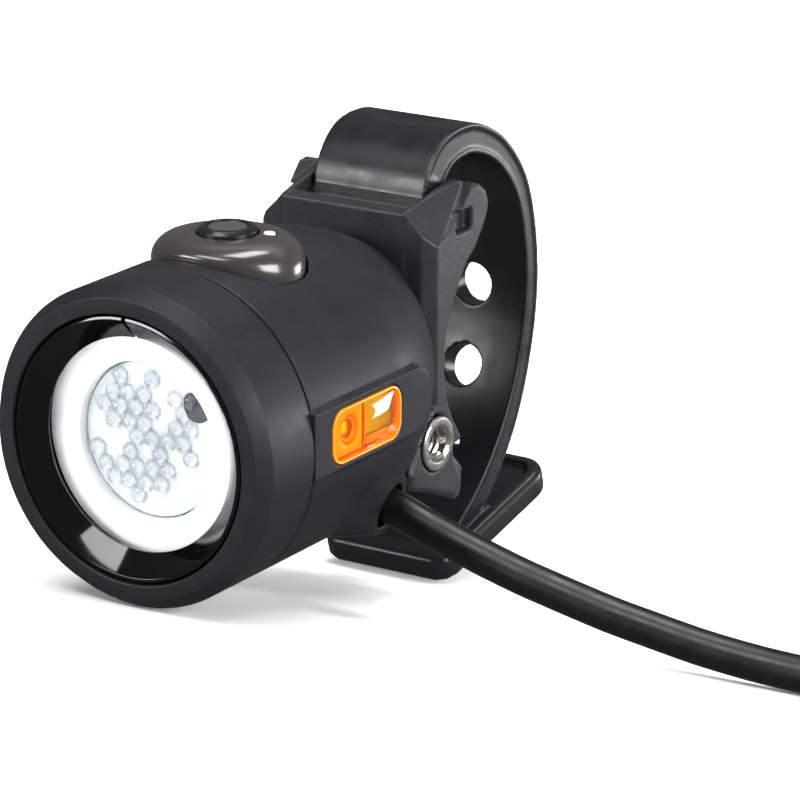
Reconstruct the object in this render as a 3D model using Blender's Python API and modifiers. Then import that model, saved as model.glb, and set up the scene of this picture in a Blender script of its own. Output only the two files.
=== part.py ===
"""Corded bullet lamp on a rubber-strap cradle.

The lamp's own frame has its origin at the centre of the bezel's front face: +Y runs back along the barrel,
+Z is up and +X is the side the cable leaves from. Sizes are in millimetres in that frame. The whole lamp is
pitched nose-down about X so that it lies on the bezel's lower edge and the strap's toe, as it does on a bench.
The cable, its coil and its connector lie on the bench and are placed in world coordinates.
"""

import math

import bmesh
import bpy
from mathutils import Matrix, Vector

MM = 0.001
GAP = 0.3
SIDES = 48

# How the lamp lies
PITCH = math.radians(12.87)
ORIGIN_BACK = 44.6
ORIGIN_LIFT = 20.98

# Barrel
BARREL_R = 22.0
BEZEL_END = 11.6
BARREL_FRONT = 11.95
TAPER_START = 33.0
BARREL_END = 51.2
TAIL_HALF_X = 15.4
TAIL_HALF_Z = 17.4
CAVITY_R = 18.4
CAVITY_END = 44.5
SPIGOT_R = 20.0
SPIGOT_FRONT = 6.5

# Lens stack
RING_R = 18.0
RING_LIP_R = 14.6
LENS_FRONT = 3.7
OPTIC_R = 10.6

# Side windows
PAD_X = 22.05
WINDOW_Y = (15.9, 32.3)
WINDOW_Z = (-2.9, 4.6)

# Top button
BUTTON_Y = 24.0
COVER_HALF_X = 10.9
COVER_HALF_Y = 9.0
COVER_TOP = 24.0
BUTTON_R = 4.0

# Cable
CABLE_R = 2.5
CABLE_EXIT = Vector((17.6, 36.2, -14.7))
CABLE_WAY = Vector((0.93, 0.13, -0.31)).normalized()
HOOD_HOLE_R = 3.3

# Bracket
WALL_FRONT = 51.5
WALL_BACK = 54.6
BRACKET_HALF_X = 14.5
POCKET_HALF_X = 9.7
POCKET_FLOOR = 13.2
BAR_Y = 72.8
BAR_Z = 0.5
SADDLE_R = 16.8
SADDLE_THICK = 1.2
PIN_Y = 60.3
PIN_Z = 19.4
PIN_R = 1.5
INSERT_Y = 52.7
INSERT_Z = -10.9
SCREW_Z = (8.5, -7.5)

# Strap
STRAP_HALF_X = 9.2
STRAP_HOLE_R = 3.1
TAB_THICK = 4.0
TAB_TILT = math.radians(16.7)
TAB_TOE = Vector((0.0, 62.0, -33.9))

# Coil of spare cable, in world coordinates
COIL_X = 107.0
COIL_Y = 34.4
COIL_INNER_R = 19.6
COIL_OUTER_R = 34.0
COIL_TOP = 9.2
TIE_HALF_WIDTH = 4.5
TIE_THICK = 0.8

# Connector, in world coordinates: its axis runs along -X behind the coil
PLUG_Y = 66.0
PLUG_R = 4.8
PLUG_START = 86.4
PLUG_SHOULDER = 63.0
BARREL_END_X = 54.0
CONTACT_R = 2.75


# ---------------------------------------------------------------- scene and finishes


def clear_scene():
    for item in list(bpy.data.objects):
        bpy.data.objects.remove(item, do_unlink=True)


def new_collection(name):
    made = bpy.data.collections.new(name)
    bpy.context.scene.collection.children.link(made)
    return made


clear_scene()
PARTS = new_collection("corded_bullet_lamp")
CUTTERS = new_collection("cutters")
LAMP = bpy.data.objects.new("lamp_frame", None)
PARTS.objects.link(LAMP)
LAMP.location = (0.0, -ORIGIN_BACK * MM, ORIGIN_LIFT * MM)
LAMP.rotation_euler = (PITCH, 0.0, 0.0)


def finish(name, colour, roughness, metallic=0.0, alpha=1.0):
    made = bpy.data.materials.new(name)
    made.use_nodes = True
    shader = made.node_tree.nodes["Principled BSDF"]
    shader.inputs["Base Color"].default_value = (*colour, 1.0)
    shader.inputs["Roughness"].default_value = roughness
    shader.inputs["Metallic"].default_value = metallic
    shader.inputs["Alpha"].default_value = alpha
    return made


BLACK_SHELL = finish("black_moulded_shell", (0.012, 0.012, 0.014), 0.55)
BLACK_NYLON = finish("black_glass_filled_nylon", (0.014, 0.014, 0.015), 0.6)
BLACK_RUBBER = finish("black_strap_rubber", (0.016, 0.016, 0.017), 0.5)
CABLE_JACKET = finish("black_cable_jacket", (0.012, 0.012, 0.013), 0.4)
GLOSS_BLACK = finish("gloss_black_ring", (0.004, 0.004, 0.005), 0.08)
CLEAR_LENS = finish("clear_polycarbonate", (0.95, 0.97, 0.98), 0.03, alpha=0.3)
CLEAR_OPTIC = finish("clear_optic_acrylic", (0.9, 0.92, 0.94), 0.05, alpha=0.6)
WHITE_HOLDER = finish("white_holder", (0.85, 0.86, 0.87), 0.4)
AMBER = finish("amber_polycarbonate", (0.9, 0.32, 0.02), 0.1, alpha=0.7)
SMOKE = finish("smoke_polycarbonate", (0.09, 0.085, 0.085), 0.15, alpha=0.85)
STEEL = finish("stainless_steel", (0.55, 0.55, 0.56), 0.3, metallic=1.0)
NICKEL = finish("nickel_plated_brass", (0.72, 0.7, 0.66), 0.25, metallic=1.0)
ALUMINIUM = finish("cast_aluminium", (0.6, 0.61, 0.62), 0.45, metallic=1.0)
BOARD = finish("circuit_board", (0.02, 0.12, 0.05), 0.5)
WHITE_BOARD = finish("white_led_board", (0.8, 0.8, 0.78), 0.5)
PHOSPHOR = finish("led_phosphor", (0.95, 0.8, 0.2), 0.4)
SEAL = finish("black_seal_rubber", (0.02, 0.02, 0.02), 0.6)
HOOK_LOOP = finish("black_tie_webbing", (0.02, 0.02, 0.022), 0.85)


# ---------------------------------------------------------------- modelling helpers


def register(name, mesh, material=None, parent=LAMP):
    """Puts a mesh in the scene as a part, or as a cutter where it has no material."""
    made = bpy.data.objects.new(name, mesh)
    if material is None:
        CUTTERS.objects.link(made)
        made.hide_render = True
        made.display_type = "WIRE"
    else:
        PARTS.objects.link(made)
        mesh.materials.clear()
        mesh.materials.append(material)
    made.parent = parent
    return made


def mesh_of(name, build):
    """Makes a mesh with the bmesh function build, whose lengths are in millimetres."""
    work = bmesh.new()
    build(work)
    bmesh.ops.scale(work, vec=(MM, MM, MM), verts=work.verts)
    bmesh.ops.recalc_face_normals(work, faces=work.faces)
    made = bpy.data.meshes.new(name)
    work.to_mesh(made)
    work.free()
    return made


def block(name, low, high, material=None, parent=LAMP):
    low, high = Vector(low), Vector(high)

    def build(work):
        bmesh.ops.create_cube(work, size=1.0)
        bmesh.ops.scale(work, vec=high - low, verts=work.verts)
        bmesh.ops.translate(work, vec=(low + high) / 2, verts=work.verts)

    return register(name, mesh_of(name, build), material, parent)


def rod(name, start, end, radius, material=None, sides=32, parent=LAMP):
    """A cylinder between two points."""
    start, end = Vector(start), Vector(end)
    along = end - start

    def build(work):
        turn = along.to_track_quat("Z", "Y").to_matrix().to_4x4()
        bmesh.ops.create_cone(
            work,
            cap_ends=True,
            segments=sides,
            radius1=radius,
            radius2=radius,
            depth=along.length,
            matrix=Matrix.Translation((start + end) / 2) @ turn,
        )

    made = register(name, mesh_of(name, build), material, parent)
    smooth(made)
    return made


def turned(name, profile, material=None, start=(0, 0, 0), toward=(0, 1, 0), steps=SIDES, closed=True, parent=LAMP):
    """A Screw of the profile, a list of (radius, distance along the axis).

    A closed profile is a ring's section; an open one starts and ends on the axis.
    """
    points = [Vector((r * MM, 0.0, d * MM)) for r, d in profile]
    area = sum(a.x * b.z - b.x * a.z for a, b in zip(points, points[1:] + points[:1]))
    if area > 0:
        points.reverse()
    count = len(points)
    edges = [(i, i + 1) for i in range(count - 1)] + ([(count - 1, 0)] if closed else [])
    made_mesh = bpy.data.meshes.new(name)
    made_mesh.from_pydata(points, edges, [])
    made = register(name, made_mesh, material, parent)
    made.location = Vector(start) * MM
    made.rotation_euler = Vector(toward).to_track_quat("Z", "Y").to_euler()
    screw = made.modifiers.new("turn", "SCREW")
    screw.axis = "Z"
    screw.steps = steps
    screw.render_steps = steps
    screw.use_merge_vertices = True
    screw.merge_threshold = 0.00001
    screw.use_smooth_shade = False
    return made


def plate(name, outline, low, high, plane="YZ", material=None, place=None):
    """An outline in a plane of the lamp's frame, extruded from low to high across it."""
    turns = {"YZ": (math.pi / 2, 0.0, math.pi / 2), "XZ": (math.pi / 2, 0.0, 0.0), "XY": (0.0, 0.0, 0.0)}
    across = {"YZ": Vector((1, 0, 0)), "XZ": Vector((0, 1, 0)), "XY": Vector((0, 0, 1))}
    sketch = bpy.data.curves.new(name, "CURVE")
    sketch.dimensions = "2D"
    sketch.fill_mode = "BOTH"
    sketch.extrude = (high - low) / 2 * MM
    line = sketch.splines.new("POLY")
    line.points.add(len(outline) - 1)
    for point, (u, v) in zip(line.points, outline):
        point.co = (u * MM, v * MM, 0.0, 1.0)
    line.use_cyclic_u = True
    drawn = bpy.data.objects.new(name + "_sketch", sketch)
    CUTTERS.objects.link(drawn)
    bpy.context.view_layer.update()
    solid = bpy.data.meshes.new_from_object(drawn.evaluated_get(bpy.context.evaluated_depsgraph_get()))
    bpy.data.objects.remove(drawn, do_unlink=True)
    work = bmesh.new()
    work.from_mesh(solid)
    bmesh.ops.remove_doubles(work, verts=work.verts, dist=0.000001)
    if place is None:
        place = Matrix.Translation(across[plane] * (low + high) / 2 * MM)
        place = place @ Matrix.Rotation(turns[plane][2], 4, "Z") @ Matrix.Rotation(turns[plane][0], 4, "X")
    bmesh.ops.transform(work, matrix=place, verts=work.verts)
    bmesh.ops.recalc_face_normals(work, faces=work.faces)
    work.to_mesh(solid)
    work.free()
    solid.name = name
    return register(name, solid, material)


def hull(name, points, material=None):
    """The convex solid round the points."""

    def build(work):
        for point in points:
            work.verts.new(point)
        found = bmesh.ops.convex_hull(work, input=work.verts)
        spare = [item for item in found["geom_interior"] if isinstance(item, bmesh.types.BMVert)]
        bmesh.ops.delete(work, geom=spare, context="VERTS")

    return register(name, mesh_of(name, build), material)


def loft(name, rings, material=None):
    """A solid through closed rings that have the same number of points."""

    def build(work):
        rows = [[work.verts.new(point) for point in ring] for ring in rings]
        count = len(rows[0])
        for near, far in zip(rows, rows[1:]):
            for i in range(count):
                j = (i + 1) % count
                work.faces.new((near[i], near[j], far[j], far[i]))
        work.faces.new(rows[0])
        work.faces.new(rows[-1])

    return register(name, mesh_of(name, build), material)


def boolean(piece, tool, operation):
    step = piece.modifiers.new(operation.lower() + "_" + tool.name, "BOOLEAN")
    step.operation = operation
    step.solver = "EXACT"
    step.object = tool


def cut(piece, *tools):
    for tool in tools:
        boolean(piece, tool, "DIFFERENCE")


def join(piece, *tools):
    for tool in tools:
        boolean(piece, tool, "UNION")


def smooth(piece):
    piece.data.shade_smooth()
    piece.data.set_sharp_from_angle(angle=math.radians(35.0))


def rounded(low, high, radius, steps=4):
    """A rounded rectangle's outline between two corners."""
    points = []
    for centre_u, centre_v, first in (
        (high[0] - radius, high[1] - radius, 0),
        (low[0] + radius, high[1] - radius, 90),
        (low[0] + radius, low[1] + radius, 180),
        (high[0] - radius, low[1] + radius, 270),
    ):
        for i in range(steps + 1):
            turn = math.radians(first + 90 * i / steps)
            points.append((centre_u + radius * math.cos(turn), centre_v + radius * math.sin(turn)))
    return points


def arc(centre_u, centre_v, radius, first, last, steps):
    turns = [math.radians(first + (last - first) * i / steps) for i in range(steps + 1)]
    return [(centre_u + radius * math.cos(t), centre_v + radius * math.sin(t)) for t in turns]


def smooth_line(points, per_span=3):
    """A Catmull-Rom curve through the points."""
    points = [Vector(p) for p in points]
    ends = [2 * points[0] - points[1]] + points + [2 * points[-1] - points[-2]]
    out = []
    for a, b, c, d in zip(ends, ends[1:], ends[2:], ends[3:]):
        for i in range(per_span):
            t = i / per_span
            out.append(0.5 * (2 * b + (c - a) * t + (2 * a - 5 * b + 4 * c - d) * t**2 + (3 * b - a - 3 * c + d) * t**3))
    return out + [points[-1]]


# ---------------------------------------------------------------- lens end


def make_lens_end():
    bore = RING_R + GAP
    turned(
        "bezel",
        [
            (BARREL_R - 1.5, 0.0),
            (BARREL_R, 2.1),
            (BARREL_R, BEZEL_END),
            (SPIGOT_R + GAP, BEZEL_END),
            (SPIGOT_R + GAP, 5.3),
            (bore, 5.3),
            (bore, 0.0),
        ],
        BLACK_SHELL,
    )
    ring = turned(
        "lens_retaining_ring",
        [(RING_R, 0.35), (RING_R, 3.4), (RING_LIP_R, 3.4), (RING_LIP_R, 3.0), (RING_R - 0.5, 0.2)],
        GLOSS_BLACK,
    )
    cut(ring, block("ring_split", (-0.35, -1, 10), (0.35, 5, 20)))
    turned(
        "front_lens",
        [(0.0, LENS_FRONT), (RING_R, LENS_FRONT), (RING_R, LENS_FRONT + 1.0), (0.0, LENS_FRONT + 1.0)],
        CLEAR_LENS,
        closed=False,
    )
    turned("lens_gasket", [(RING_R, 5.0), (RING_R, 6.2), (15.8, 6.2), (15.8, 5.0)], SEAL)


def make_light_engine():
    holder = [(13.6, 5.1), (13.6, 15.9), (5.3, 15.9), (5.3, 15.2), (10.9, 7.0), (10.9, 5.1)]
    turned("optic_holder", holder, WHITE_HOLDER)
    optic = [(0.0, 5.4), (OPTIC_R, 5.4), (OPTIC_R, 6.8), (4.9, 15.0), (2.5, 15.0), (2.5, 12.6), (0.0, 12.6)]
    turned("optic", optic, CLEAR_OPTIC, closed=False)
    led = block("main_led", (-2.5, 15.35, -2.5), (2.5, 16.0, 2.5), PHOSPHOR)
    dome = [(0.0, 13.2), (1.2, 13.5), (1.9, 14.2), (2.1, 15.0), (2.1, 15.6), (0.0, 15.6)]
    join(led, turned("led_dome", dome, closed=False, steps=20))
    board = turned("led_board", [(0, 16.3), (13.4, 16.3), (13.4, 17.9), (0, 17.9)], WHITE_BOARD, closed=False, steps=32)
    for side in (-1, 1):
        cut(board, rod(f"wire_notch_{side}", (side * 13.4, 15, 0), (side * 13.4, 19, 0), 1.4, sides=12))
    sink = turned(
        "heat_sink",
        [(0, 25.4), (14.8, 25.4), (14.8, 14.2), (18.1, 14.2), (18.1, 12.4), (13.9, 12.4), (13.9, 18.2), (0, 18.2)],
        ALUMINIUM,
        closed=False,
        steps=32,
    )
    for i in range(-2, 3):
        cut(sink, block(f"fin_slot_{i}", (i * 4.6 - 1.1, 20.4, -20), (i * 4.6 + 1.1, 27, 20)))
    driver = turned("driver_board", [(0, 27.2), (14.6, 27.2), (14.6, 28.6), (0, 28.6)], BOARD, closed=False, steps=32)
    join(
        driver,
        block("inductor", (-8, 28.0, -3), (-1, 32.0, 4)),
        block("controller", (2, 28.0, -2), (7, 29.6, 3)),
        rod("capacitor", (3.5, 28.0, 8.0), (3.5, 32.5, 8.0), 2.2, sides=16),
    )


# ---------------------------------------------------------------- barrel


def barrel_half_widths(y, skin=0.0):
    """The barrel's half width and half height at y, less a wall."""
    share = max(0.0, (y - TAPER_START) / (BARREL_END - TAPER_START)) ** 1.8
    half_x = BARREL_R - (BARREL_R - TAIL_HALF_X) * share
    half_z = BARREL_R - (BARREL_R - TAIL_HALF_Z) * share
    return half_x - skin, half_z - skin


def ellipse(half_x, half_z, y, count=SIDES):
    turns = [math.tau * i / count for i in range(count)]
    return [(half_x * math.cos(t), y, half_z * math.sin(t)) for t in turns]


def cover_height(x, share):
    """The button cover's height above the axis; share is 0 at its middle and 1 at its edge."""
    over_barrel = math.sqrt(BARREL_R**2 - x * x) + 0.45
    flat = 0.42
    if share <= flat:
        return COVER_TOP
    fall = math.sqrt(max(0.0, 1.0 - ((share - flat) / (1.0 - flat)) ** 2.4))
    return over_barrel + (COVER_TOP - over_barrel) * fall


def oval(share, height, grow=0.0, count=40):
    points = []
    for i in range(count):
        turn = math.tau * i / count
        x = (COVER_HALF_X + grow) * share * math.cos(turn)
        y = BUTTON_Y + (COVER_HALF_Y + grow) * share * math.sin(turn)
        points.append((x, y, cover_height(x, share) if height is None else height))
    return points


def make_hood():
    """The cable's hood: a faceted swelling low on the +X side that ends in a round rim."""
    side = CABLE_WAY.cross(Vector((0, 1, 0))).normalized()
    up = side.cross(CABLE_WAY).normalized()
    rim = []
    for i in range(12):
        turn = math.tau * i / 12
        rim.append(CABLE_EXIT + CABLE_WAY * 0.2 + 4.5 * (math.cos(turn) * side + math.sin(turn) * up))
    crease = [(21.1, 31.6, -5.6), (20.4, 28.2, -7.8), (19.0, 26.6, -10.6), (16.6, 26.0, -14.2), (13.4, 27.2, -17.2)]
    inside = [(8.0, 28.0, -8.0), (8.0, 28.0, -15.0), (8.0, 43.0, -8.0), (8.0, 41.0, -16.0), (11.0, 31.0, -19.0)]
    return hull("cable_hood", rim + crease + inside)


def make_body():
    stations = [
        (SPIGOT_FRONT, SPIGOT_R, SPIGOT_R),
        (BARREL_FRONT, SPIGOT_R, SPIGOT_R),
        (BARREL_FRONT, BARREL_R, BARREL_R),
    ]
    taper = [TAPER_START + (BARREL_END - TAPER_START) * i / 7 for i in range(8)]
    stations += [(y, *barrel_half_widths(y)) for y in taper]
    body = loft("body_shell", [ellipse(half_x, half_z, y) for y, half_x, half_z in stations], BLACK_SHELL)
    pad = [(BARREL_FRONT, -3.6), (36.3, -3.6), *arc(36.3, -0.1, 3.5, -90, 0, 4)[1:]]
    pad += [*arc(36.3, 2.1, 3.5, 0, 90, 4), (BARREL_FRONT, 5.6)]
    for side in (-1, 1):
        low, high = sorted((side * 9.0, side * PAD_X))
        join(body, plate(f"side_pad_{side}", pad, low, high))
    join(body, make_hood())

    wall = BARREL_R - CAVITY_R
    inner = [(SPIGOT_FRONT - 2.0, CAVITY_R, CAVITY_R)]
    for i in range(5):
        y = TAPER_START + (CAVITY_END - TAPER_START) * i / 4
        inner.append((y, *barrel_half_widths(y, wall)))
    cut(body, loft("cavity", [ellipse(half_x, half_z, y) for y, half_x, half_z in inner]))

    opening = rounded((WINDOW_Y[0] - GAP, WINDOW_Z[0] - GAP), (WINDOW_Y[1] + GAP, WINDOW_Z[1] + GAP), 2.6)
    for side in (-1, 1):
        low, high = sorted((side * 16.0, side * 24.0))
        cut(body, plate(f"window_hole_{side}", opening, low, high))
    cut(body, loft("cover_hole", [oval(1.0, 14.0, GAP), oval(1.0, 30.0, GAP)]))
    cut(body, turned("seal_groove", [(21.0, 8.0), (21.0, 9.6), (19.0, 9.6), (19.0, 8.0)]))
    bore_end = CABLE_EXIT + CABLE_WAY * 4
    cut(body, rod("cable_bore", CABLE_EXIT - CABLE_WAY * 14, bore_end, HOOD_HOLE_R, sides=24))
    for i, height in enumerate(SCREW_Z):
        cut(body, rod(f"tail_screw_hole_{i}", (0, 46.5, height), (0, 53, height), 1.55, sides=16))
    relief = [(45.4, -20.0), (45.6, -13.6), (46.6, -9.6), (48.9, -5.4), (50.6, -3.6), (54.0, -3.6), (54.0, -20.0)]
    for side in (-1, 1):
        low, high = sorted((side * 9.3, side * 20.0))
        cut(body, plate(f"lug_relief_{side}", relief, low, high))

    ring = [(19.7 + 0.42 * math.cos(t), 8.8 + 0.42 * math.sin(t)) for t in (math.tau * i / 8 for i in range(8))]
    turned("body_seal", ring, SEAL)


def make_side_windows():
    outline = rounded((WINDOW_Y[0], WINDOW_Z[0]), (WINDOW_Y[1], WINDOW_Z[1]), 2.3)
    for side, word in ((-1, "left"), (1, "right")):
        low, high = sorted((side * 18.9, side * (PAD_X + 0.2)))
        window = plate(f"side_window_{word}", outline, low, high, material=AMBER)
        inner, outer = sorted((side * 10.0, side * 20.6))
        hollow = rounded((WINDOW_Y[0] + 1.3, WINDOW_Z[0] + 1.3), (WINDOW_Y[1] - 1.3, WINDOW_Z[1] - 1.3), 1.2)
        cut(window, plate(f"window_hollow_{word}", hollow, inner, outer))
        low, high = sorted((side * 16.2, side * 17.2))
        board = block(f"side_led_board_{word}", (low, 17.0, -2.4), (high, 31.2, 4.1), WHITE_BOARD)
        low, high = sorted((side * 16.8, side * 18.2))
        join(board, block(f"side_led_{word}", (low, 18.6, -0.8), (high, 22.0, 2.6)))


# ---------------------------------------------------------------- switch


def make_switch():
    shares = [1.0, 0.97, 0.92, 0.84, 0.74, 0.62, 0.5, 0.42]
    rings = [oval(1.0, 16.9)] + [oval(share, None) for share in shares]
    cover = loft("button_cover", rings, SMOKE)
    cut(cover, loft("cover_hollow", [oval(0.8, 15.0), oval(0.8, 20.6), oval(0.62, 22.4)]))
    cut(cover, rod("button_hole", (0, BUTTON_Y, 18), (0, BUTTON_Y, 27), BUTTON_R + GAP))
    light_at = (4.9, 26.6)
    cut(cover, rod("light_hole", (*light_at, 20), (*light_at, 27), 1.1, sides=16))
    button = [(0, 24.7), (2.6, 24.62), (3.6, 24.3), (BUTTON_R, 23.8), (BUTTON_R, 22.0), (5.4, 21.9), (5.4, 21.2)]
    button += [(1.6, 21.2), (1.6, 20.0), (0, 20.0)]
    pad = turned("power_button", button, BLACK_RUBBER, (0, BUTTON_Y, 0), (0, 0, 1), closed=False, steps=32)
    cut(pad, rod("light_notch", (*light_at, 20.6), (*light_at, 22.6), 1.15, sides=16))
    switch = block("tact_switch", (-2.6, BUTTON_Y - 2.6, 16.5), (2.6, BUTTON_Y + 2.6, 18.5), GLOSS_BLACK)
    join(switch, rod("plunger", (0, BUTTON_Y, 18.0), (0, BUTTON_Y, 19.1), 1.4, sides=16))
    block("switch_board", (-7.4, 18.6, 15.2), (7.4, 29.4, 16.2), BOARD)
    rod("status_light", (*light_at, 18.6), (*light_at, 24.05), 0.8, CLEAR_OPTIC, sides=16)


# ---------------------------------------------------------------- bracket


def bar_arc(radius, first, last, steps):
    """Points on a circle about the bar's axis, by angle from +Y, as (y, z)."""
    return arc(BAR_Y, BAR_Z, radius, first, last, steps)


def bracket_side():
    """One side's outline in y and z: ear, front edge, lug, horn under the bar and neck."""
    front = WALL_FRONT + 0.2
    ear = [(65.4, 17.2), (66.6, 19.2), (66.9, 20.6), (66.1, 22.5), (64.2, 23.8), (60.0, 23.4), (front, 21.7)]
    lug = [(52.0, -4.2), (49.3, -8.0), (47.2, -11.0), (46.1, -13.5), (45.9, -16.1), (51.7, -18.0), (58.1, -20.8)]
    lug += [(59.5, -20.6), (60.0, -18.8), (60.1, -16.5), (57.7, -13.9), (57.7, -12.6)]
    horn = [(59.7, -12.25), (59.7, -11.6), (57.8, -8.9), (56.4, -6.2), (55.6, -3.6), (55.4, -0.8)]
    neck = [(55.6, 2.6), (56.3, 5.3), (57.6, 8.0), (59.4, 10.8), (61.3, 13.2), (63.5, 14.8)]
    return ear + [(front, 14.0), (front, -1.0)] + lug + horn + neck


def ear_chamfer(side):
    """What comes off the outer top edge of an ear, leaving two long facets."""
    half = BRACKET_HALF_X
    low = [(9.9, 51.0, 21.75), (12.9, 51.0, 19.0), (half + 0.1, 53.6, 17.1), (half + 0.1, 59.5, 22.1)]
    low += [(half + 0.1, 61.5, 23.4), (11.5, 65.0, 24.2)]
    high = [(9.9, 51.0, 30.0), (19.0, 51.0, 30.0), (19.0, 65.0, 30.0), (11.5, 65.0, 30.0), (19.0, 51.0, 15.0)]
    return hull(f"ear_chamfer_{side}", [(side * x, y, z) for x, y, z in low + high])


def make_bracket():
    core_r = SADDLE_R + SADDLE_THICK + GAP
    core = [(WALL_FRONT + 0.4, -16.6), (WALL_FRONT + 0.4, POCKET_FLOOR), (58.9, POCKET_FLOOR)]
    core += bar_arc(core_r, 138, 236, 10)
    core += [(62.6, -17.0), (60.5, -18.2), (56.0, -18.6)]
    bracket = plate("cradle_bracket", core, -10.4, 10.4, material=BLACK_NYLON)
    join(bracket, block("front_wall", (-10.1, WALL_FRONT, -4.5), (10.1, WALL_BACK, 21.7)))
    for side in (-1, 1):
        low, high = sorted((side * POCKET_HALF_X, side * BRACKET_HALF_X))
        join(bracket, plate(f"side_plate_{side}", bracket_side(), low, high))
    join(bracket, plate("strap_hook", [(53.5, -16.0), (60.0, -17.0), (59.3, -24.0), (61.0, -26.2), (56.8, -26.8)], -4, 4))

    for side in (-1, 1):
        cut(bracket, ear_chamfer(side))
        corner = [(12.9, 50.0), (12.9, WALL_FRONT + 0.2), (BRACKET_HALF_X + 0.1, 53.6), (18.0, 53.6), (18.0, 50.0)]
        cut(bracket, plate(f"front_chamfer_{side}", [(side * x, y) for x, y in corner], -6.0, 26.0, plane="XY"))
    bar = rod("bar_clearance", (-20, BAR_Y, BAR_Z), (20, BAR_Y, BAR_Z), SADDLE_R, sides=64)
    cut(bracket, bar)
    cut(bracket, rod("pin_bore", (-13.15, PIN_Y, PIN_Z), (13.15, PIN_Y, PIN_Z), PIN_R + GAP, sides=20))
    for side in (-1, 1):
        low, high = sorted((side * 13.05, side * 16.0))
        cut(bracket, block(f"pin_window_{side}", (low, 58.3, 17.8), (high, 62.3, 20.7)))
        at = [Vector((side * x, INSERT_Y, INSERT_Z)) for x in (10.8, 16.0)]
        cut(bracket, rod(f"insert_hole_{side}", *at, 3.7, sides=28))
    for i, height in enumerate(SCREW_Z):
        cut(bracket, rod(f"wall_screw_hole_{i}", (0, 50, height), (0, 60, height), 1.55, sides=16))
        cut(bracket, rod(f"screw_seat_{i}", (0, 53.4, height), (0, 62, height), 2.9, sides=20))

    rod("strap_pin", (-12.2, PIN_Y, PIN_Z), (12.2, PIN_Y, PIN_Z), PIN_R, STEEL, sides=20)
    pad = bar_arc(SADDLE_R, 134, 238, 12) + bar_arc(SADDLE_R + SADDLE_THICK, 238, 134, 12)
    plate("bar_saddle", pad, -9.3, 9.3, material=BLACK_RUBBER)
    for word, height in zip(("upper", "lower"), SCREW_Z):
        profile = [(0, 47.0), (1.25, 47.0), (1.25, 53.7), (2.6, 53.7), (2.6, 54.7), (1.9, 55.1), (0, 55.1)]
        screw = turned(f"bracket_screw_{word}", profile, STEEL, start=(0, 0, height), closed=False, steps=20)
        cut(screw, rod(f"socket_{word}", (0, 54.2, height), (0, 57, height), 1.0, sides=6))
    for side, word in ((-1, "left"), (1, "right")):
        profile = [(3.9, 14.8), (3.9, 15.3), (2.15, 15.3), (2.15, 11.1), (3.4, 11.1), (3.4, 14.8)]
        centre = (0, INSERT_Y, INSERT_Z)
        turned(f"threaded_insert_{word}", profile, NICKEL, start=centre, toward=(side, 0, 0), steps=32)


# ---------------------------------------------------------------- strap


def ribbon(centres, thickness):
    """The outline round a centre line whose thickness varies along it."""
    line = smooth_line(centres)
    steps = len(line) - 1
    outer, inner = [], []
    for i, point in enumerate(line):
        ahead = (line[min(i + 1, steps)] - line[max(i - 1, 0)]).normalized()
        normal = Vector((-ahead.y, ahead.x))
        place = i / steps * (len(thickness) - 1)
        at = min(int(place), len(thickness) - 2)
        half = (thickness[at] + (thickness[at + 1] - thickness[at]) * (place - at)) / 2
        outer.append(point + normal * half)
        inner.append(point - normal * half)
    return [tuple(p) for p in outer + inner[::-1]]


STRAP_LINE = [
    (60.4, 20.0),
    (61.4, 24.0),
    (64.4, 27.1),
    (68.7, 28.1),
    (73.4, 27.5),
    (79.6, 24.2),
    (85.0, 17.8),
    (87.6, 8.6),
    (87.6, -0.5),
    (85.2, -10.0),
    (81.3, -17.8),
    (75.3, -25.0),
    (69.2, -29.9),
    (64.2, -33.4),
]
STRAP_THICKNESS = [4.8, 4.9, 4.9, 4.5, 4.2, 3.8, 3.5, 3.3, 3.3, 3.4, 3.6, 3.9, 4.3, 3.0]


def make_strap():
    strap = plate("strap", ribbon(STRAP_LINE, STRAP_THICKNESS), -STRAP_HALF_X, STRAP_HALF_X, material=BLACK_RUBBER)
    join(strap, rod("strap_eye", (-STRAP_HALF_X + 0.15, PIN_Y, PIN_Z), (STRAP_HALF_X - 0.15, PIN_Y, PIN_Z), 3.3, sides=24))
    tab = [(8.4, 0.0), (10.2, 0.8), (10.9, 2.8), (12.2, 23.4)]
    tab += arc(8.0, 24.3, 4.2, 0, 90, 5)
    outline = tab + [(-x, s) for x, s in reversed(tab)]
    place = Matrix.Translation(TAB_TOE * MM) @ Matrix.Rotation(TAB_TILT, 4, "X")
    plate_of_tab = plate("tab_plate", outline, -TAB_THICK / 2, TAB_THICK / 2, place=place)
    dish = [(8.2, 6.0), (10.2, 23.0)] + arc(7.2, 23.9, 3.0, 0, 90, 4)
    outline = dish + [(-x, s) for x, s in reversed(dish)]
    place = Matrix.Translation(TAB_TOE * MM) @ Matrix.Rotation(TAB_TILT, 4, "X") @ Matrix.Translation((0, 0, 2.6 * MM))
    cut(plate_of_tab, plate("tab_dish", outline, -1.5, 1.5, place=place))
    join(strap, plate_of_tab)
    cut(strap, rod("eye_bore", (-12, PIN_Y, PIN_Z), (12, PIN_Y, PIN_Z), PIN_R + GAP, sides=20))
    holes = [((80.0, 2.0), (94.0, 1.6)), ((78.0, -8.1), (91.0, -12.2)), ((75.2, -18.7), (83.6, -25.7))]
    for i, ((y0, z0), (y1, z1)) in enumerate(holes):
        cut(strap, rod(f"strap_hole_{i}", (0, y0, z0), (0, y1, z1), STRAP_HOLE_R, sides=24))


# ---------------------------------------------------------------- cable


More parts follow.
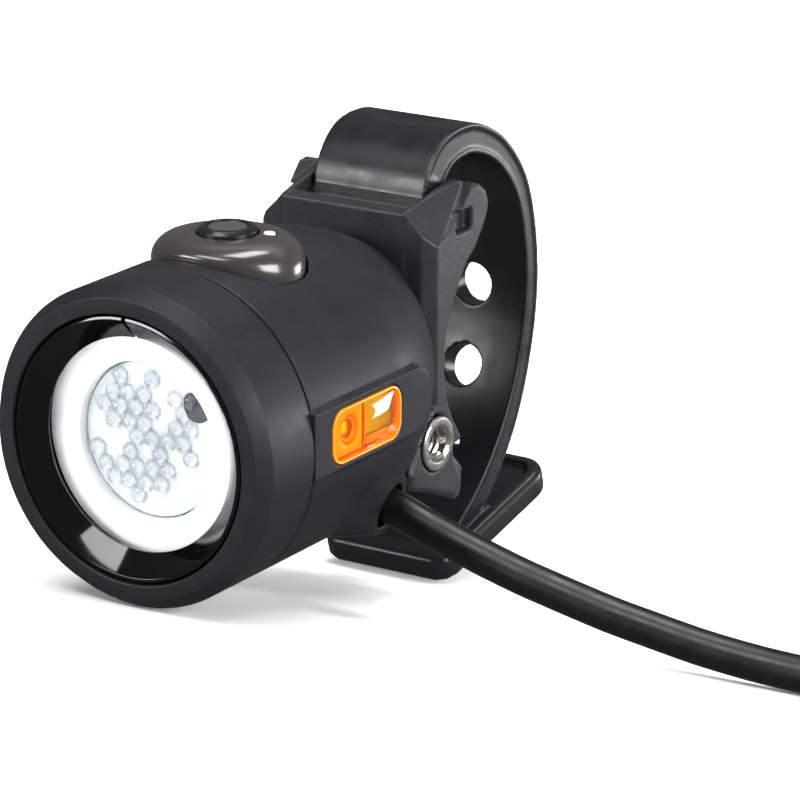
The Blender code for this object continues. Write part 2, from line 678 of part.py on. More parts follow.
# From the exit to the coil, in world coordinates: a stiff, shallow fall to the bench, then along it.
CABLE_ROUTE = [
    (22.6, -5.5, 13.1),
    (27.5, -5.1, 11.6),
    (32.8, -4.7, 10.1),
    (38.1, -4.2, 8.7),
    (42.5, -3.6, 7.7),
    (47.0, -2.9, 6.7),
    (51.7, -2.1, 5.7),
    (57.0, -1.2, 4.8),
    (64.1, -0.1, 3.7),
    (71.0, 1.0, 3.0),
    (76.5, 1.8, 2.7),
    (82.1, 2.4, 2.5),
    (88.7, 2.8, 2.5),
]


def make_cable():
    lamp_to_world = Matrix.Translation((0, -ORIGIN_BACK, ORIGIN_LIFT)) @ Matrix.Rotation(PITCH, 4, "X")
    depth = 1.6
    gland_face = CABLE_EXIT - CABLE_WAY * depth
    gland = [(0, 0), (3.0, 0), (3.0, -7.0), (4.3, -7.6), (4.3, -9.0), (0, -9.0)]
    turned("cable_gland", gland, SEAL, start=gland_face, toward=CABLE_WAY, closed=False, steps=24)
    first = lamp_to_world @ (gland_face + CABLE_WAY * GAP)
    second = lamp_to_world @ (CABLE_EXIT + CABLE_WAY * 1.0)
    line = smooth_line([first, second, *[Vector(p) for p in CABLE_ROUTE]], per_span=1)
    tube = bpy.data.curves.new("cable", "CURVE")
    tube.dimensions = "3D"
    tube.bevel_depth = CABLE_R * MM
    tube.bevel_resolution = 2
    tube.use_fill_caps = True
    spline = tube.splines.new("POLY")
    spline.points.add(len(line) - 1)
    for point, place in zip(spline.points, line):
        point.co = (*(place * MM), 1.0)
    tube.materials.append(CABLE_JACKET)
    cable = bpy.data.objects.new("cable", tube)
    PARTS.objects.link(cable)


def make_coil():
    soft = 2.2
    section = [(COIL_INNER_R, soft), (COIL_INNER_R, COIL_TOP - 3.2), (COIL_INNER_R + soft, COIL_TOP - 0.2)]
    section += [(COIL_INNER_R + 4.6, COIL_TOP), (COIL_OUTER_R - 4.6, COIL_TOP)]
    section += [(COIL_OUTER_R - soft, COIL_TOP - 0.6), (COIL_OUTER_R, 4.6), (COIL_OUTER_R, soft)]
    section += [(COIL_OUTER_R - soft, 0.0), (COIL_INNER_R + soft, 0.0)]
    centre = (COIL_X, COIL_Y, 0)
    coil = turned("cable_coil", section, CABLE_JACKET, start=centre, toward=(0, 0, 1), steps=40, parent=None)

    lift = TIE_THICK + GAP
    half_channel = TIE_HALF_WIDTH + GAP
    low = (COIL_X + COIL_INNER_R - 2.0, COIL_Y - half_channel, -1.0)
    cut(coil, block("tie_channel", low, (COIL_X + COIL_OUTER_R + 2.0, COIL_Y + half_channel, lift), parent=None))
    inner_x = COIL_X + math.sqrt(COIL_INNER_R**2 - TIE_HALF_WIDTH**2) - lift
    outer_x = COIL_X + COIL_OUTER_R + lift
    loop = rounded((inner_x, 0.0), (outer_x, COIL_TOP + lift), 2.2)
    tie = plate("cable_tie", loop, COIL_Y - TIE_HALF_WIDTH, COIL_Y + TIE_HALF_WIDTH, "XZ", HOOK_LOOP)
    tie.parent = None
    inside = rounded((inner_x + TIE_THICK, TIE_THICK), (outer_x - TIE_THICK, COIL_TOP + GAP), 1.4)
    window = plate("tie_window", inside, COIL_Y - 2 * TIE_HALF_WIDTH, COIL_Y + 2 * TIE_HALF_WIDTH, "XZ")
    window.parent = None
    cut(tie, window)


def make_connector():
    """A moulded barrel plug at the end of the lead, lying behind the coil."""
    length = PLUG_START - PLUG_SHOULDER
    boot = [(0, 0), (3.1, 0), (3.5, 9.0), (4.3, 10.4), (PLUG_R, 11.6), (PLUG_R, length - 0.6), (PLUG_R - 0.6, length)]
    start = (PLUG_START, PLUG_Y, PLUG_R)
    plug = turned("connector_plug", boot + [(0, length)], CABLE_JACKET, start, (-1, 0, 0), closed=False, parent=None)
    back = (PLUG_SHOULDER + 6.0, PLUG_Y, PLUG_R)
    front = (PLUG_SHOULDER - 1.0, PLUG_Y, PLUG_R)
    cut(plug, rod("contact_bore", back, front, CONTACT_R + GAP, parent=None))
    for i in range(3):
        x = PLUG_START - 2.6 - 2.4 * i
        for side in (-1, 1):
            low, high = sorted((side * 2.3, side * 6.0))
            slot = block(f"relief_slot_{i}_{side}", (x - 0.5, PLUG_Y + low, 0.0), (x + 0.5, PLUG_Y + high, 10.0), parent=None)
            cut(plug, slot)
    reach = PLUG_SHOULDER + 5.6 - BARREL_END_X
    contact = [(CONTACT_R, 0), (CONTACT_R, reach - 0.3), (CONTACT_R - 0.3, reach), (1.25, reach), (1.25, 0)]
    turned("connector_barrel", contact, NICKEL, (PLUG_SHOULDER + 5.6, PLUG_Y, PLUG_R), (-1, 0, 0), steps=32, parent=None)


make_lens_end()
make_light_engine()
make_body()
make_side_windows()
make_switch()
make_bracket()
make_strap()
make_cable()
make_coil()
make_connector()
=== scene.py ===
"""Looks of a corded bullet lamp on a rubber-strap cradle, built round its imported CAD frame.

Shapes are made in millimetres in the lamp's own frame and then placed on the bench. That frame has its
origin at the centre of the bezel's front face, +Y back along the barrel, +Z up, and +X on the side that the
lead leaves from. The lead and its connector are made in bench coordinates.
"""

import logging
import math
from collections.abc import Iterable, Sequence
from dataclasses import dataclass, field
from enum import Enum

import bmesh
import bpy
from mathutils import Matrix, Vector, noise


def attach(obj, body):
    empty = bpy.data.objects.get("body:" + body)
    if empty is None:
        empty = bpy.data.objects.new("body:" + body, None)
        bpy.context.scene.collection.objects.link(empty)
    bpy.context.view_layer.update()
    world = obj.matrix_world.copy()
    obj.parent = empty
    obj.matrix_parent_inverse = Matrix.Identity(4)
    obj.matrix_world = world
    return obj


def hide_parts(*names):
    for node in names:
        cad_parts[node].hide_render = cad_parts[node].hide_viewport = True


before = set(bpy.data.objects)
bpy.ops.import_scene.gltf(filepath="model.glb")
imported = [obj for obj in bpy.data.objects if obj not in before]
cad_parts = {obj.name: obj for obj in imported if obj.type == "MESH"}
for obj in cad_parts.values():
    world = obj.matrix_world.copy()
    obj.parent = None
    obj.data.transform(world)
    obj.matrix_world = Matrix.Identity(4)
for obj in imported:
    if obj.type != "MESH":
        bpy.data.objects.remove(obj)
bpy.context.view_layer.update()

logging.basicConfig(level=logging.INFO, format="%(message)s")
log = logging.getLogger("lamp")

MM = 0.001
PITCH = math.radians(12.87)
ORIGIN_BACK = 44.6
ORIGIN_LIFT = 20.98
BENCH = Matrix.Scale(MM, 4)
LAMP_ON_BENCH = Matrix.Translation((0, -ORIGIN_BACK, ORIGIN_LIFT)) @ Matrix.Rotation(PITCH, 4, "X")
LAMP = BENCH @ LAMP_ON_BENCH
# Blender seeds its vector noise from the clock, so the optic's domes need a seed to be alike in every run.
DOME_SEED = 1795029211

BARREL_R = 22.0
BARREL_FRONT = 11.95
BARREL_END = 51.2
TAPER_START = 33.0
TAIL_HALF_X = 15.4
TAIL_HALF_Z = 17.4
PAD_X = 22.05
PAD_Z = (-3.6, 5.6)
BUTTON_Y = 24.0
COVER_HALF_X = 10.9
COVER_HALF_Y = 9.0
COVER_TOP = 24.0
LIGHT_AT = (4.9, 26.6)
BAR_Y = 72.8
BAR_Z = 0.5
SADDLE_R = 16.8
PIN_Y = 60.3
PIN_Z = 19.4
INSERT_Y = 52.7
INSERT_Z = -10.9
SCREW_Z = (8.5, -7.5)
WALL_FRONT = 51.5
BRACKET_HALF_X = 14.5
STRAP_HALF_X = 9.2
TAB_TOE = Vector((0.0, 62.0, -33.9))
TAB_TILT = math.radians(16.7)
TAB_THICK = 4.0
CABLE_R = 2.5
CABLE_EXIT = Vector((17.6, 36.2, -14.7))
CABLE_WAY = Vector((0.93, 0.13, -0.31)).normalized()
HOOD_HOLE_R = 3.3
COIL_X = 107.0
COIL_Y = 34.4
PLUG_Y = 66.0
PLUG_R = 4.8
PLUG_START = 86.4


# ---------------------------------------------------------------- finishes


class Grain(Enum):
    """How a surface is broken up close to."""

    FINE_SPARK = "fine_spark"
    FIBRE = "fibre"
    SATIN = "satin"
    POLISHED = "polished"
    CAST = "cast"
    WOVEN = "woven"


def linear(hex_colour: str) -> tuple[float, float, float, float]:
    """Turns an sRGB hex colour into the linear RGBA that shaders take."""
    parts = [int(hex_colour[i : i + 2], 16) / 255 for i in (1, 3, 5)]
    r, g, b = (c / 12.92 if c <= 0.04045 else ((c + 0.055) / 1.055) ** 2.4 for c in parts)
    return (r, g, b, 1.0)


class Shading:
    """One material's node tree, with a short way to add and join nodes."""

    def __init__(self, name: str) -> None:
        self.material = bpy.data.materials.new(name)
        self.material.use_nodes = True
        self.tree = self.material.node_tree
        self.surface = self.tree.nodes["Principled BSDF"]
        self.coords = self.tree.nodes.new("ShaderNodeTexCoord")

    def add(self, kind: str, inputs: dict | None = None, **settings) -> bpy.types.Node:
        """Adds a node.

        Args:
            kind: the node's type without its ShaderNode prefix.
            inputs: a value, or the output socket to link, for each input by name.
            settings: the node's own properties.

        Returns:
            The new node.
        """
        node = self.tree.nodes.new("ShaderNode" + kind)
        for key, value in settings.items():
            setattr(node, key, value)
        for key, value in (inputs or {}).items():
            self.feed(node, key, value)
        return node

    def feed(self, node: bpy.types.Node, key: str | int, value) -> None:
        """Sets an input, or links it where the value is an output socket."""
        if isinstance(value, bpy.types.NodeSocket):
            self.tree.links.new(value, node.inputs[key])
        else:
            node.inputs[key].default_value = value

    def noise(
        self, size_mm: float, detail: float = 3.0, stretch: Sequence[float] = (1, 1, 1)
    ) -> bpy.types.NodeSocket:
        """A noise whose features are about size_mm across."""
        mapped = self.add("Mapping", {"Vector": self.coords.outputs["Object"], "Scale": tuple(stretch)})
        made = self.add("TexNoise", {"Vector": mapped.outputs[0], "Scale": 1000 / size_mm, "Detail": detail})
        return made.outputs["Fac"]

    def spread(self, value: bpy.types.NodeSocket, low: float, high: float, frm: Sequence[float] = (0.3, 0.7)):
        """Maps a noise to a range."""
        limits = {"From Min": frm[0], "From Max": frm[1], "To Min": low, "To Max": high}
        return self.add("MapRange", {"Value": value, **limits}).outputs[0]

    def mix(self, share, first, second) -> bpy.types.NodeSocket:
        """Mixes two colours."""
        made = self.add("Mix", data_type="RGBA")
        self.feed(made, 0, share)
        self.feed(made, 6, first)
        self.feed(made, 7, second)
        return made.outputs[2]

    def bump(self, height: bpy.types.NodeSocket, depth_mm: float, under=None) -> bpy.types.NodeSocket:
        """Turns a height into a normal, over another bump where one is given."""
        made = self.add("Bump", {"Height": height, "Distance": depth_mm * MM, "Strength": 1.0})
        if under is not None:
            self.feed(made, "Normal", under)
        return made.outputs[0]


@dataclass(frozen=True)
class Finish:
    """A real material: its colours, gloss and grain.

    Attributes:
        name: the material's name.
        colour: the base colour, sRGB hex.
        roughness: the mean roughness.
        grain: how the surface is broken up.
        grain_mm: the size of the grain.
        depth_mm: the depth of the grain.
        metallic: 1 for a metal.
        worn: the colour of rubbed edges, or none.
        coat: the share of clear coat.
        transmission: the share of light let through.
        ior: the refractive index; metals and plain plastics keep the default.
        specular: the specular level; the default is a plain plastic's.
    """

    name: str
    colour: str
    roughness: float
    grain: Grain = Grain.SATIN
    grain_mm: float = 0.3
    depth_mm: float = 0.01
    metallic: float = 0.0
    worn: str | None = None
    coat: float = 0.0
    transmission: float = 0.0
    ior: float = 1.5
    specular: float = 0.5

    def build(self) -> bpy.types.Material:
        """Makes the material, once."""
        found = bpy.data.materials.get(self.name)
        if found is not None:
            return found
        s = Shading(self.name)
        base = linear(self.colour)
        shade = tuple(c * 0.82 for c in base[:3]) + (1.0,)
        cloud = s.noise(7.0, 4.0)
        colour = s.mix(s.spread(cloud, 0.0, 1.0), base, shade)
        if self.worn:
            edge = s.spread(s.add("NewGeometry").outputs["Pointiness"], 0.0, 0.55, (0.53, 0.62))
            patch = s.add("Math", {0: edge, 1: s.spread(s.noise(1.2, 5.0), 0.0, 1.0)}, operation="MULTIPLY")
            colour = s.mix(patch.outputs[0], colour, linear(self.worn))
        s.feed(s.surface, "Base Color", colour)
        s.surface.inputs["Metallic"].default_value = self.metallic
        s.surface.inputs["Specular IOR Level"].default_value = self.specular
        s.surface.inputs["Coat Weight"].default_value = self.coat
        s.surface.inputs["Coat Roughness"].default_value = 0.08
        s.surface.inputs["Transmission Weight"].default_value = self.transmission
        if self.transmission and not self.metallic:
            s.surface.inputs["IOR"].default_value = self.ior
        swing = 0.02 if self.grain is Grain.POLISHED else 0.07
        smear = s.noise(3.0, 5.0, (1.0, 0.35, 1.0))
        smooth = max(0.01, self.roughness - swing)
        s.feed(s.surface, "Roughness", s.spread(smear, smooth, self.roughness + swing))
        self._relief(s)
        return s.material

    def _relief(self, s: Shading) -> None:
        """Adds the grain's bump."""
        if self.grain is Grain.POLISHED:
            s.feed(s.surface, "Normal", s.bump(s.noise(9.0, 1.0), self.depth_mm))
            return
        fine = s.noise(self.grain_mm, 4.0)
        if self.grain is Grain.FIBRE:
            fibres = s.noise(self.grain_mm * 0.8, 2.0, (1.0, 0.22, 1.0))
            under = s.bump(fine, self.depth_mm)
            s.feed(s.surface, "Normal", s.bump(fibres, self.depth_mm * 0.8, under))
            return
        if self.grain is Grain.WOVEN:
            slant = (0.0, math.pi / 4, 0.6)
            mapped = s.add("Mapping", {"Vector": s.coords.outputs["Object"], "Rotation": slant})
            scale = 1000 / self.grain_mm / 6
            wave = s.add("TexWave", {"Vector": mapped.outputs[0], "Scale": scale, "Distortion": 1.5})
            under = s.bump(fine, self.depth_mm)
            s.feed(s.surface, "Normal", s.bump(wave.outputs["Fac"], self.depth_mm, under))
            return
        if self.grain is Grain.FINE_SPARK:
            pits = s.add("TexVoronoi", {"Vector": s.coords.outputs["Object"], "Scale": 1000 / self.grain_mm})
            under = s.bump(fine, self.depth_mm)
            s.feed(s.surface, "Normal", s.bump(pits.outputs["Distance"], self.depth_mm * 0.7, under))
            return
        deeper = 3.0 if self.grain is Grain.CAST else 1.0
        s.feed(s.surface, "Normal", s.bump(fine, self.depth_mm * deeper))


# A spark-eroded mould leaves fine pits, so the black shell is matt with a broad, soft sheen.
SHELL = Finish(
    "black_polycarbonate_spark_textured",
    "#1a1a1e",
    0.46,
    Grain.FINE_SPARK,
    0.22,
    0.012,
    worn="#27272a",
    specular=0.22,
)
# Glass fibres show at the surface of the nylon as short streaks, and its rubbed edges go grey.
NYLON = Finish(
    "black_glass_filled_nylon", "#222226", 0.44, Grain.FIBRE, 0.45, 0.022, worn="#3a3a3e", specular=0.3
)
# Silicone rubber from a smooth mould: a satin sheen that runs softly round the strap.
STRAP_RUBBER = Finish("black_silicone_rubber_strap", "#151518", 0.34, Grain.SATIN, 0.5, 0.006, specular=0.36)
# Duller rubber, so the ribs of the saddle stay darker than the strap.
SADDLE_RUBBER = Finish("black_rubber_saddle", "#0d0d0e", 0.65, Grain.SATIN, 0.5, 0.01, specular=0.3)
# Matt rubber of the gasket, the seal and the gland.
SEAL_RUBBER = Finish("black_seal_rubber", "#0c0c0d", 0.6, Grain.SATIN, 0.4, 0.008, specular=0.3)
# Smoother rubber, with clear highlights on the button.
BUTTON_RUBBER = Finish("black_button_elastomer", "#151516", 0.3, Grain.SATIN, 0.35, 0.006, specular=0.4)
# Plasticised PVC: one bright line runs along the lead.
JACKET = Finish("black_pvc_cable_jacket", "#0c0c0e", 0.36, Grain.SATIN, 0.9, 0.012, specular=0.36)
# Polished acetal mirrors the lights as sharp arcs.
GLOSS = Finish("black_gloss_acetal_ring", "#050506", 0.07, Grain.POLISHED, depth_mm=0.01)
# Bright white nylon throws light back through the glass.
HOLDER = Finish("white_optic_holder_nylon", "#fdfdfd", 0.35, Grain.SATIN, 0.4, 0.004)
# Tinted through and moulded in a polished tool: brown-grey, with clear highlights.
SMOKE = Finish(
    "smoke_grey_polycarbonate", "#332f2e", 0.22, Grain.POLISHED, depth_mm=0.02, coat=0.3, transmission=0.1
)
# Plain steel: a grey metal with soft-edged reflections.
STEEL = Finish("stainless_steel", "#a9aaad", 0.28, Grain.SATIN, 0.25, 0.003, metallic=1.0)
# Nickel plate over brass: a warmer and brighter metal than the steel.
NICKEL = Finish("nickel_plated_brass", "#e0ded9", 0.27, Grain.SATIN, 0.3, 0.004, metallic=1.0)
# The skin of a die casting: dull and lightly rough.
ALUMINIUM = Finish("die_cast_aluminium", "#b9bbbe", 0.45, Grain.CAST, 0.35, 0.01, metallic=1.0)
# Green solder mask over woven glass.
BOARD = Finish("green_circuit_board", "#0f4a26", 0.42, Grain.WOVEN, 0.35, 0.01)
# White solder mask, which keeps the board bright.
LED_BOARD = Finish("white_led_board", "#f2f2ea", 0.45, Grain.SATIN, 0.4, 0.004)
# An orange-cream reflector that glows behind the amber pane.
CELL_FRONT = Finish("cream_window_reflector", "#f7a13a", 0.3, Grain.SATIN, 0.5, 0.01)
# A board that turns olive behind the amber pane.
CELL_REAR = Finish("olive_window_board", "#a39a50", 0.4, Grain.SATIN, 0.6, 0.02)
# The yellow resin over a light-emitting chip, with a clear skin.
PHOSPHOR = Finish("led_phosphor_resin", "#f3d24a", 0.25, Grain.SATIN, 0.3, 0.01, coat=0.6)
# Matt webbing with a woven grain.
WEBBING = Finish("black_hook_and_loop_webbing", "#111113", 0.85, Grain.WOVEN, 0.6, 0.12, specular=0.2)
# Clear acrylic domes that each catch a highlight.
OPTIC_FACE = Finish(
    "moulded_acrylic_optic", "#ffffff", 0.02, Grain.POLISHED, depth_mm=0.004, transmission=1.0, ior=1.45
)
# The pale, rippled face under the domes keeps the optic bright.
CORE = Finish("rippled_acrylic_optic", "#d2d9dd", 0.1, Grain.SATIN, 1.9, 0.3, coat=0.6)
# A small dark mark on the optic.
PEG = Finish("grey_locating_peg", "#55555a", 0.35, Grain.SATIN, 0.3, 0.004)
# The thick edge of the window: more opaque than its pane.
AMBER_RIM = Finish("amber_moulded_edge", "#e58410", 0.25, Grain.POLISHED, depth_mm=0.005, coat=0.5)
# Tan resin with a satin surface.
CELL_LEDGE = Finish("tan_potting_resin", "#c08a5a", 0.35, Grain.SATIN, 0.5, 0.01)
# A white light pipe with a polished end.
STATUS_LENS = Finish("white_light_pipe", "#ffffff", 0.12, Grain.POLISHED, depth_mm=0.003, coat=0.8)
# A polished cap, painted a lighter grey than the button as painted reflection on its top; the polish and
# clear coat also give it a real sharp highlight.
BUTTON_CAP_PAINTED_REFLECTION = Finish("gloss_button_cap_painted_reflection", "#3c3b3c", 0.12, Grain.POLISHED, depth_mm=0.01, coat=0.6)


def thin_pane(name: str, tint: tuple[float, float, float, float], roughness: float) -> bpy.types.Material:
    """A thin polished pane: it tints what lies behind it, and its outer faces reflect by Fresnel."""
    s = Shading(name)
    normal = s.bump(s.noise(9.0, 1.0), 0.005)
    through = s.add("BsdfTransparent", {"Color": tint})
    gloss = s.add("BsdfAnisotropic", {"Color": (1, 1, 1, 1), "Roughness": roughness, "Normal": normal})
    fresnel = s.add("Fresnel", {"IOR": 1.5, "Normal": normal}).outputs[0]
    back = s.add("NewGeometry").outputs["Backfacing"]
    front = s.add("Math", {0: 1.0, 1: back}, operation="SUBTRACT").outputs[0]
    share = s.add("Math", {0: fresnel, 1: front}, operation="MULTIPLY").outputs[0]
    mixed = s.add("MixShader", {0: share, 1: through.outputs[0], 2: gloss.outputs[0]})
    s.tree.links.new(mixed.outputs[0], s.tree.nodes["Material Output"].inputs["Surface"])
    return s.material


# ---------------------------------------------------------------- shapes


Ring = Sequence[Sequence[float]]
Outline = list[tuple[float, float]]


def to_object(name: str, work: bmesh.types.BMesh) -> bpy.types.Object:
    """Makes an object of a bmesh and frees it."""
    bmesh.ops.recalc_face_normals(work, faces=work.faces)
    mesh = bpy.data.meshes.new(name)
    work.to_mesh(mesh)
    work.free()
    made = bpy.data.objects.new(name, mesh)
    bpy.context.scene.collection.objects.link(made)
    return made


def loft(name: str, rings: Sequence[Ring], capped: bool = True, looped: bool = False) -> bpy.types.Object:
    """A surface through closed rings with the same number of points.

    Args:
        name: the object's name.
        rings: the rings, in order.
        capped: whether the first and last ring are filled.
        looped: whether the last ring joins the first.

    Returns:
        The object.
    """
    work = bmesh.new()
    rows = [[work.verts.new(p) for p in ring] for ring in rings]
    if looped:
        rows.append(rows[0])
    count = len(rows[0])
    for near, far in zip(rows, rows[1:]):
        for i in range(count):
            j = (i + 1) % count
            work.faces.new((near[i], near[j], far[j], far[i]))
    if capped and not looped:
        work.faces.new(rows[0])
        work.faces.new(rows[-1])
    return to_object(name, work)


def lathe(
    name: str,
    profile: Sequence[tuple[float, float]],
    steps: int = 128,
    origin: Sequence[float] = (0, 0, 0),
    axis: Sequence[float] = (0, 1, 0),
) -> bpy.types.Object:
    """A closed profile of (radius, distance) turned about an axis. Points at radius 0 become one vertex."""
    way = Vector(axis).normalized()
    turn = way.to_track_quat("Z", "Y").to_matrix()
    across, up = turn.col[0], turn.col[1]
    work = bmesh.new()
    rows = []
    for radius, distance in profile:
        centre = Vector(origin) + way * distance
        if radius < 1e-6:
            rows.append([work.verts.new(centre)])
            continue
        turns = [math.tau * i / steps for i in range(steps)]
        spots = [centre + radius * (math.cos(t) * across + math.sin(t) * up) for t in turns]
        rows.append([work.verts.new(spot) for spot in spots])
    pairs = list(zip(rows, rows[1:] + rows[:1]))
    for near, far in pairs:
        if len(near) == 1 and len(far) == 1:
            continue
        for i in range(steps):
            j = (i + 1) % steps
            corners = [near[i % len(near)], near[j % len(near)], far[j % len(far)], far[i % len(far)]]
            unique = list(dict.fromkeys(corners))
            if len(unique) > 2:
                work.faces.new(unique)
    return to_object(name, work)


def prism(name: str, outline: Ring, low: float, high: float, plane: str = "YZ") -> bpy.types.Object:
    """An outline extruded across a plane."""
    orders = {
        "YZ": lambda u, v, w: (w, u, v),
        "XZ": lambda u, v, w: (u, w, v),
        "XY": lambda u, v, w: (u, v, w),
    }
    order = orders[plane]
    return loft(name, [[order(u, v, w) for u, v in outline] for w in (low, high)])


def block(name: str, low: Sequence[float], high: Sequence[float]) -> bpy.types.Object:
    """A box between two corners."""
    outline = [(low[0], low[1]), (high[0], low[1]), (high[0], high[1]), (low[0], high[1])]
    return prism(name, outline, low[2], high[2], "XY")


def rod(
    name: str, start: Sequence[float], end: Sequence[float], radius: float, sides: int = 48
) -> bpy.types.Object:
    """A cylinder between two points."""
    along = Vector(end) - Vector(start)
    return lathe(name, [(0, 0), (radius, 0), (radius, along.length), (0, along.length)], sides, start, along)


def hull(name: str, points: Iterable[Sequence[float]]) -> bpy.types.Object:
    """The convex solid round the points."""
    work = bmesh.new()
    for point in points:
        work.verts.new(point)
    found = bmesh.ops.convex_hull(work, input=work.verts)
    spare = [v for v in found["geom_interior"] if isinstance(v, bmesh.types.BMVert)]
    bmesh.ops.delete(work, geom=spare, context="VERTS")
    return to_object(name, work)


def arc(u: float, v: float, radius: float, first: float, last: float, steps: int) -> Outline:
    """Points on a circle, by angle in degrees."""
    turns = [math.radians(first + (last - first) * i / steps) for i in range(steps + 1)]
    return [(u + radius * math.cos(t), v + radius * math.sin(t)) for t in turns]


def rounded(low: Sequence[float], high: Sequence[float], radius: float, steps: int = 8) -> Outline:
    """A rounded rectangle's outline."""
    corners = ((high[0], high[1], 0), (low[0], high[1], 90), (low[0], low[1], 180), (high[0], low[1], 270))
    points = []
    for u, v, first in corners:
        u += -radius if u == high[0] else radius
        v += -radius if v == high[1] else radius
        points += arc(u, v, radius, first, first + 90, steps)
    return points


def fillet(points: Sequence[Sequence[float]], radius: float, steps: int = 4) -> list[tuple[float, float]]:
    """Rounds the corners of a closed outline, by at most 45% of its shorter side at each."""
    out = []
    count = len(points)
    for i in range(count):
        before, here, after = (Vector(points[j % count][:2]) for j in (i - 1, i, i + 1))
        back, ahead = before - here, after - here
        if min(back.length, ahead.length) < 1e-6:
            continue
        turn = back.angle(ahead)
        if turn > math.radians(172):
            out.append(tuple(here))
            continue
        reach = min(radius / math.tan(turn / 2), 0.45 * back.length, 0.45 * ahead.length)
        start, end = here + back.normalized() * reach, here + ahead.normalized() * reach
        for k in range(steps + 1):
            t = k / steps
            out.append(tuple(start * (1 - t) ** 2 + here * 2 * t * (1 - t) + end * t**2))
    return out


def bake(piece: bpy.types.Object) -> bpy.types.Object:
    """Applies every modifier."""
    bpy.context.view_layer.update()
    mesh = bpy.data.meshes.new_from_object(piece.evaluated_get(bpy.context.evaluated_depsgraph_get()))
    piece.modifiers.clear()
    piece.data = mesh
    return piece


def carve(
    piece: bpy.types.Object, tools: Sequence[bpy.types.Object], operation: str = "DIFFERENCE"
) -> bpy.types.Object:
    """Cuts the tools from a piece, or joins them to it, and removes them."""
    for tool in tools:
        step = piece.modifiers.new(tool.name, "BOOLEAN")
        step.operation, step.solver, step.object = operation, "EXACT", tool
    bake(piece)
    for tool in tools:
        bpy.data.objects.remove(tool, do_unlink=True)
    return piece


def bevel(piece: bpy.types.Object, width: float, segments: int = 2, angle: float = 40.0) -> bpy.types.Object:
    """Rounds the edges sharper than an angle in degrees."""
    step = piece.modifiers.new("edges", "BEVEL")
    step.width, step.segments = width, segments
    step.limit_method, step.angle_limit = "ANGLE", math.radians(angle)
    return bake(piece)


def moulded(piece: bpy.types.Object, voxel: float, passes: int, keep: float) -> bpy.types.Object:
    """Gives a piece the soft edges of a moulding: fine remesh, light smoothing, then fewer faces."""
    remesh = piece.modifiers.new("remesh", "REMESH")
    remesh.mode, remesh.voxel_size = "VOXEL", voxel
    soften = piece.modifiers.new("soften", "SMOOTH")
    soften.factor, soften.iterations = 0.5, passes
    fewer = piece.modifiers.new("fewer", "DECIMATE")
    fewer.ratio = keep
    return bake(piece)


def place(
    piece: bpy.types.Object,
    finish: Finish | bpy.types.Material,
    replaces: Sequence[str] = (),
    body: str = "lamp",
    where: Matrix = LAMP,
    sharp: float = 32.0,
) -> bpy.types.Object:
    """Puts a piece in the frame with its material, hangs it on the body it rides on, and hides the imported
    parts it stands for.
    """
    piece.data.transform(where)
    piece.data.materials.clear()
    piece.data.materials.append(finish if isinstance(finish, bpy.types.Material) else finish.build())
    piece.data.shade_smooth()
    piece.data.set_sharp_from_angle(angle=math.radians(sharp))
    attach(piece, body)
    if replaces:
        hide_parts(*replaces)
    log.info("%s: %d faces", piece.name, len(piece.data.polygons))
    return piece


def smoothstep(low: float, high: float, value: float) -> float:
    """0 below low, 1 above high and a smooth rise between."""
    t = min(1.0, max(0.0, (value - low) / (high - low)))
    return t * t * (3 - 2 * t)


def catmull(points: Sequence[Sequence[float]], per_span: int) -> list[Vector]:
    """A Catmull-Rom curve through the points."""
    points = [Vector(p) for p in points]
    ends = [2 * points[0] - points[1]] + points + [2 * points[-1] - points[-2]]
    out = []
    for a, b, c, d in zip(ends, ends[1:], ends[2:], ends[3:]):
        for i in range(per_span):
            t = i / per_span
            square, cube = 2 * a - 5 * b + 4 * c - d, 3 * b - a - 3 * c + d
            out.append(0.5 * (2 * b + (c - a) * t + square * t**2 + cube * t**3))
    return out + [points[-1]]


# ---------------------------------------------------------------- studio


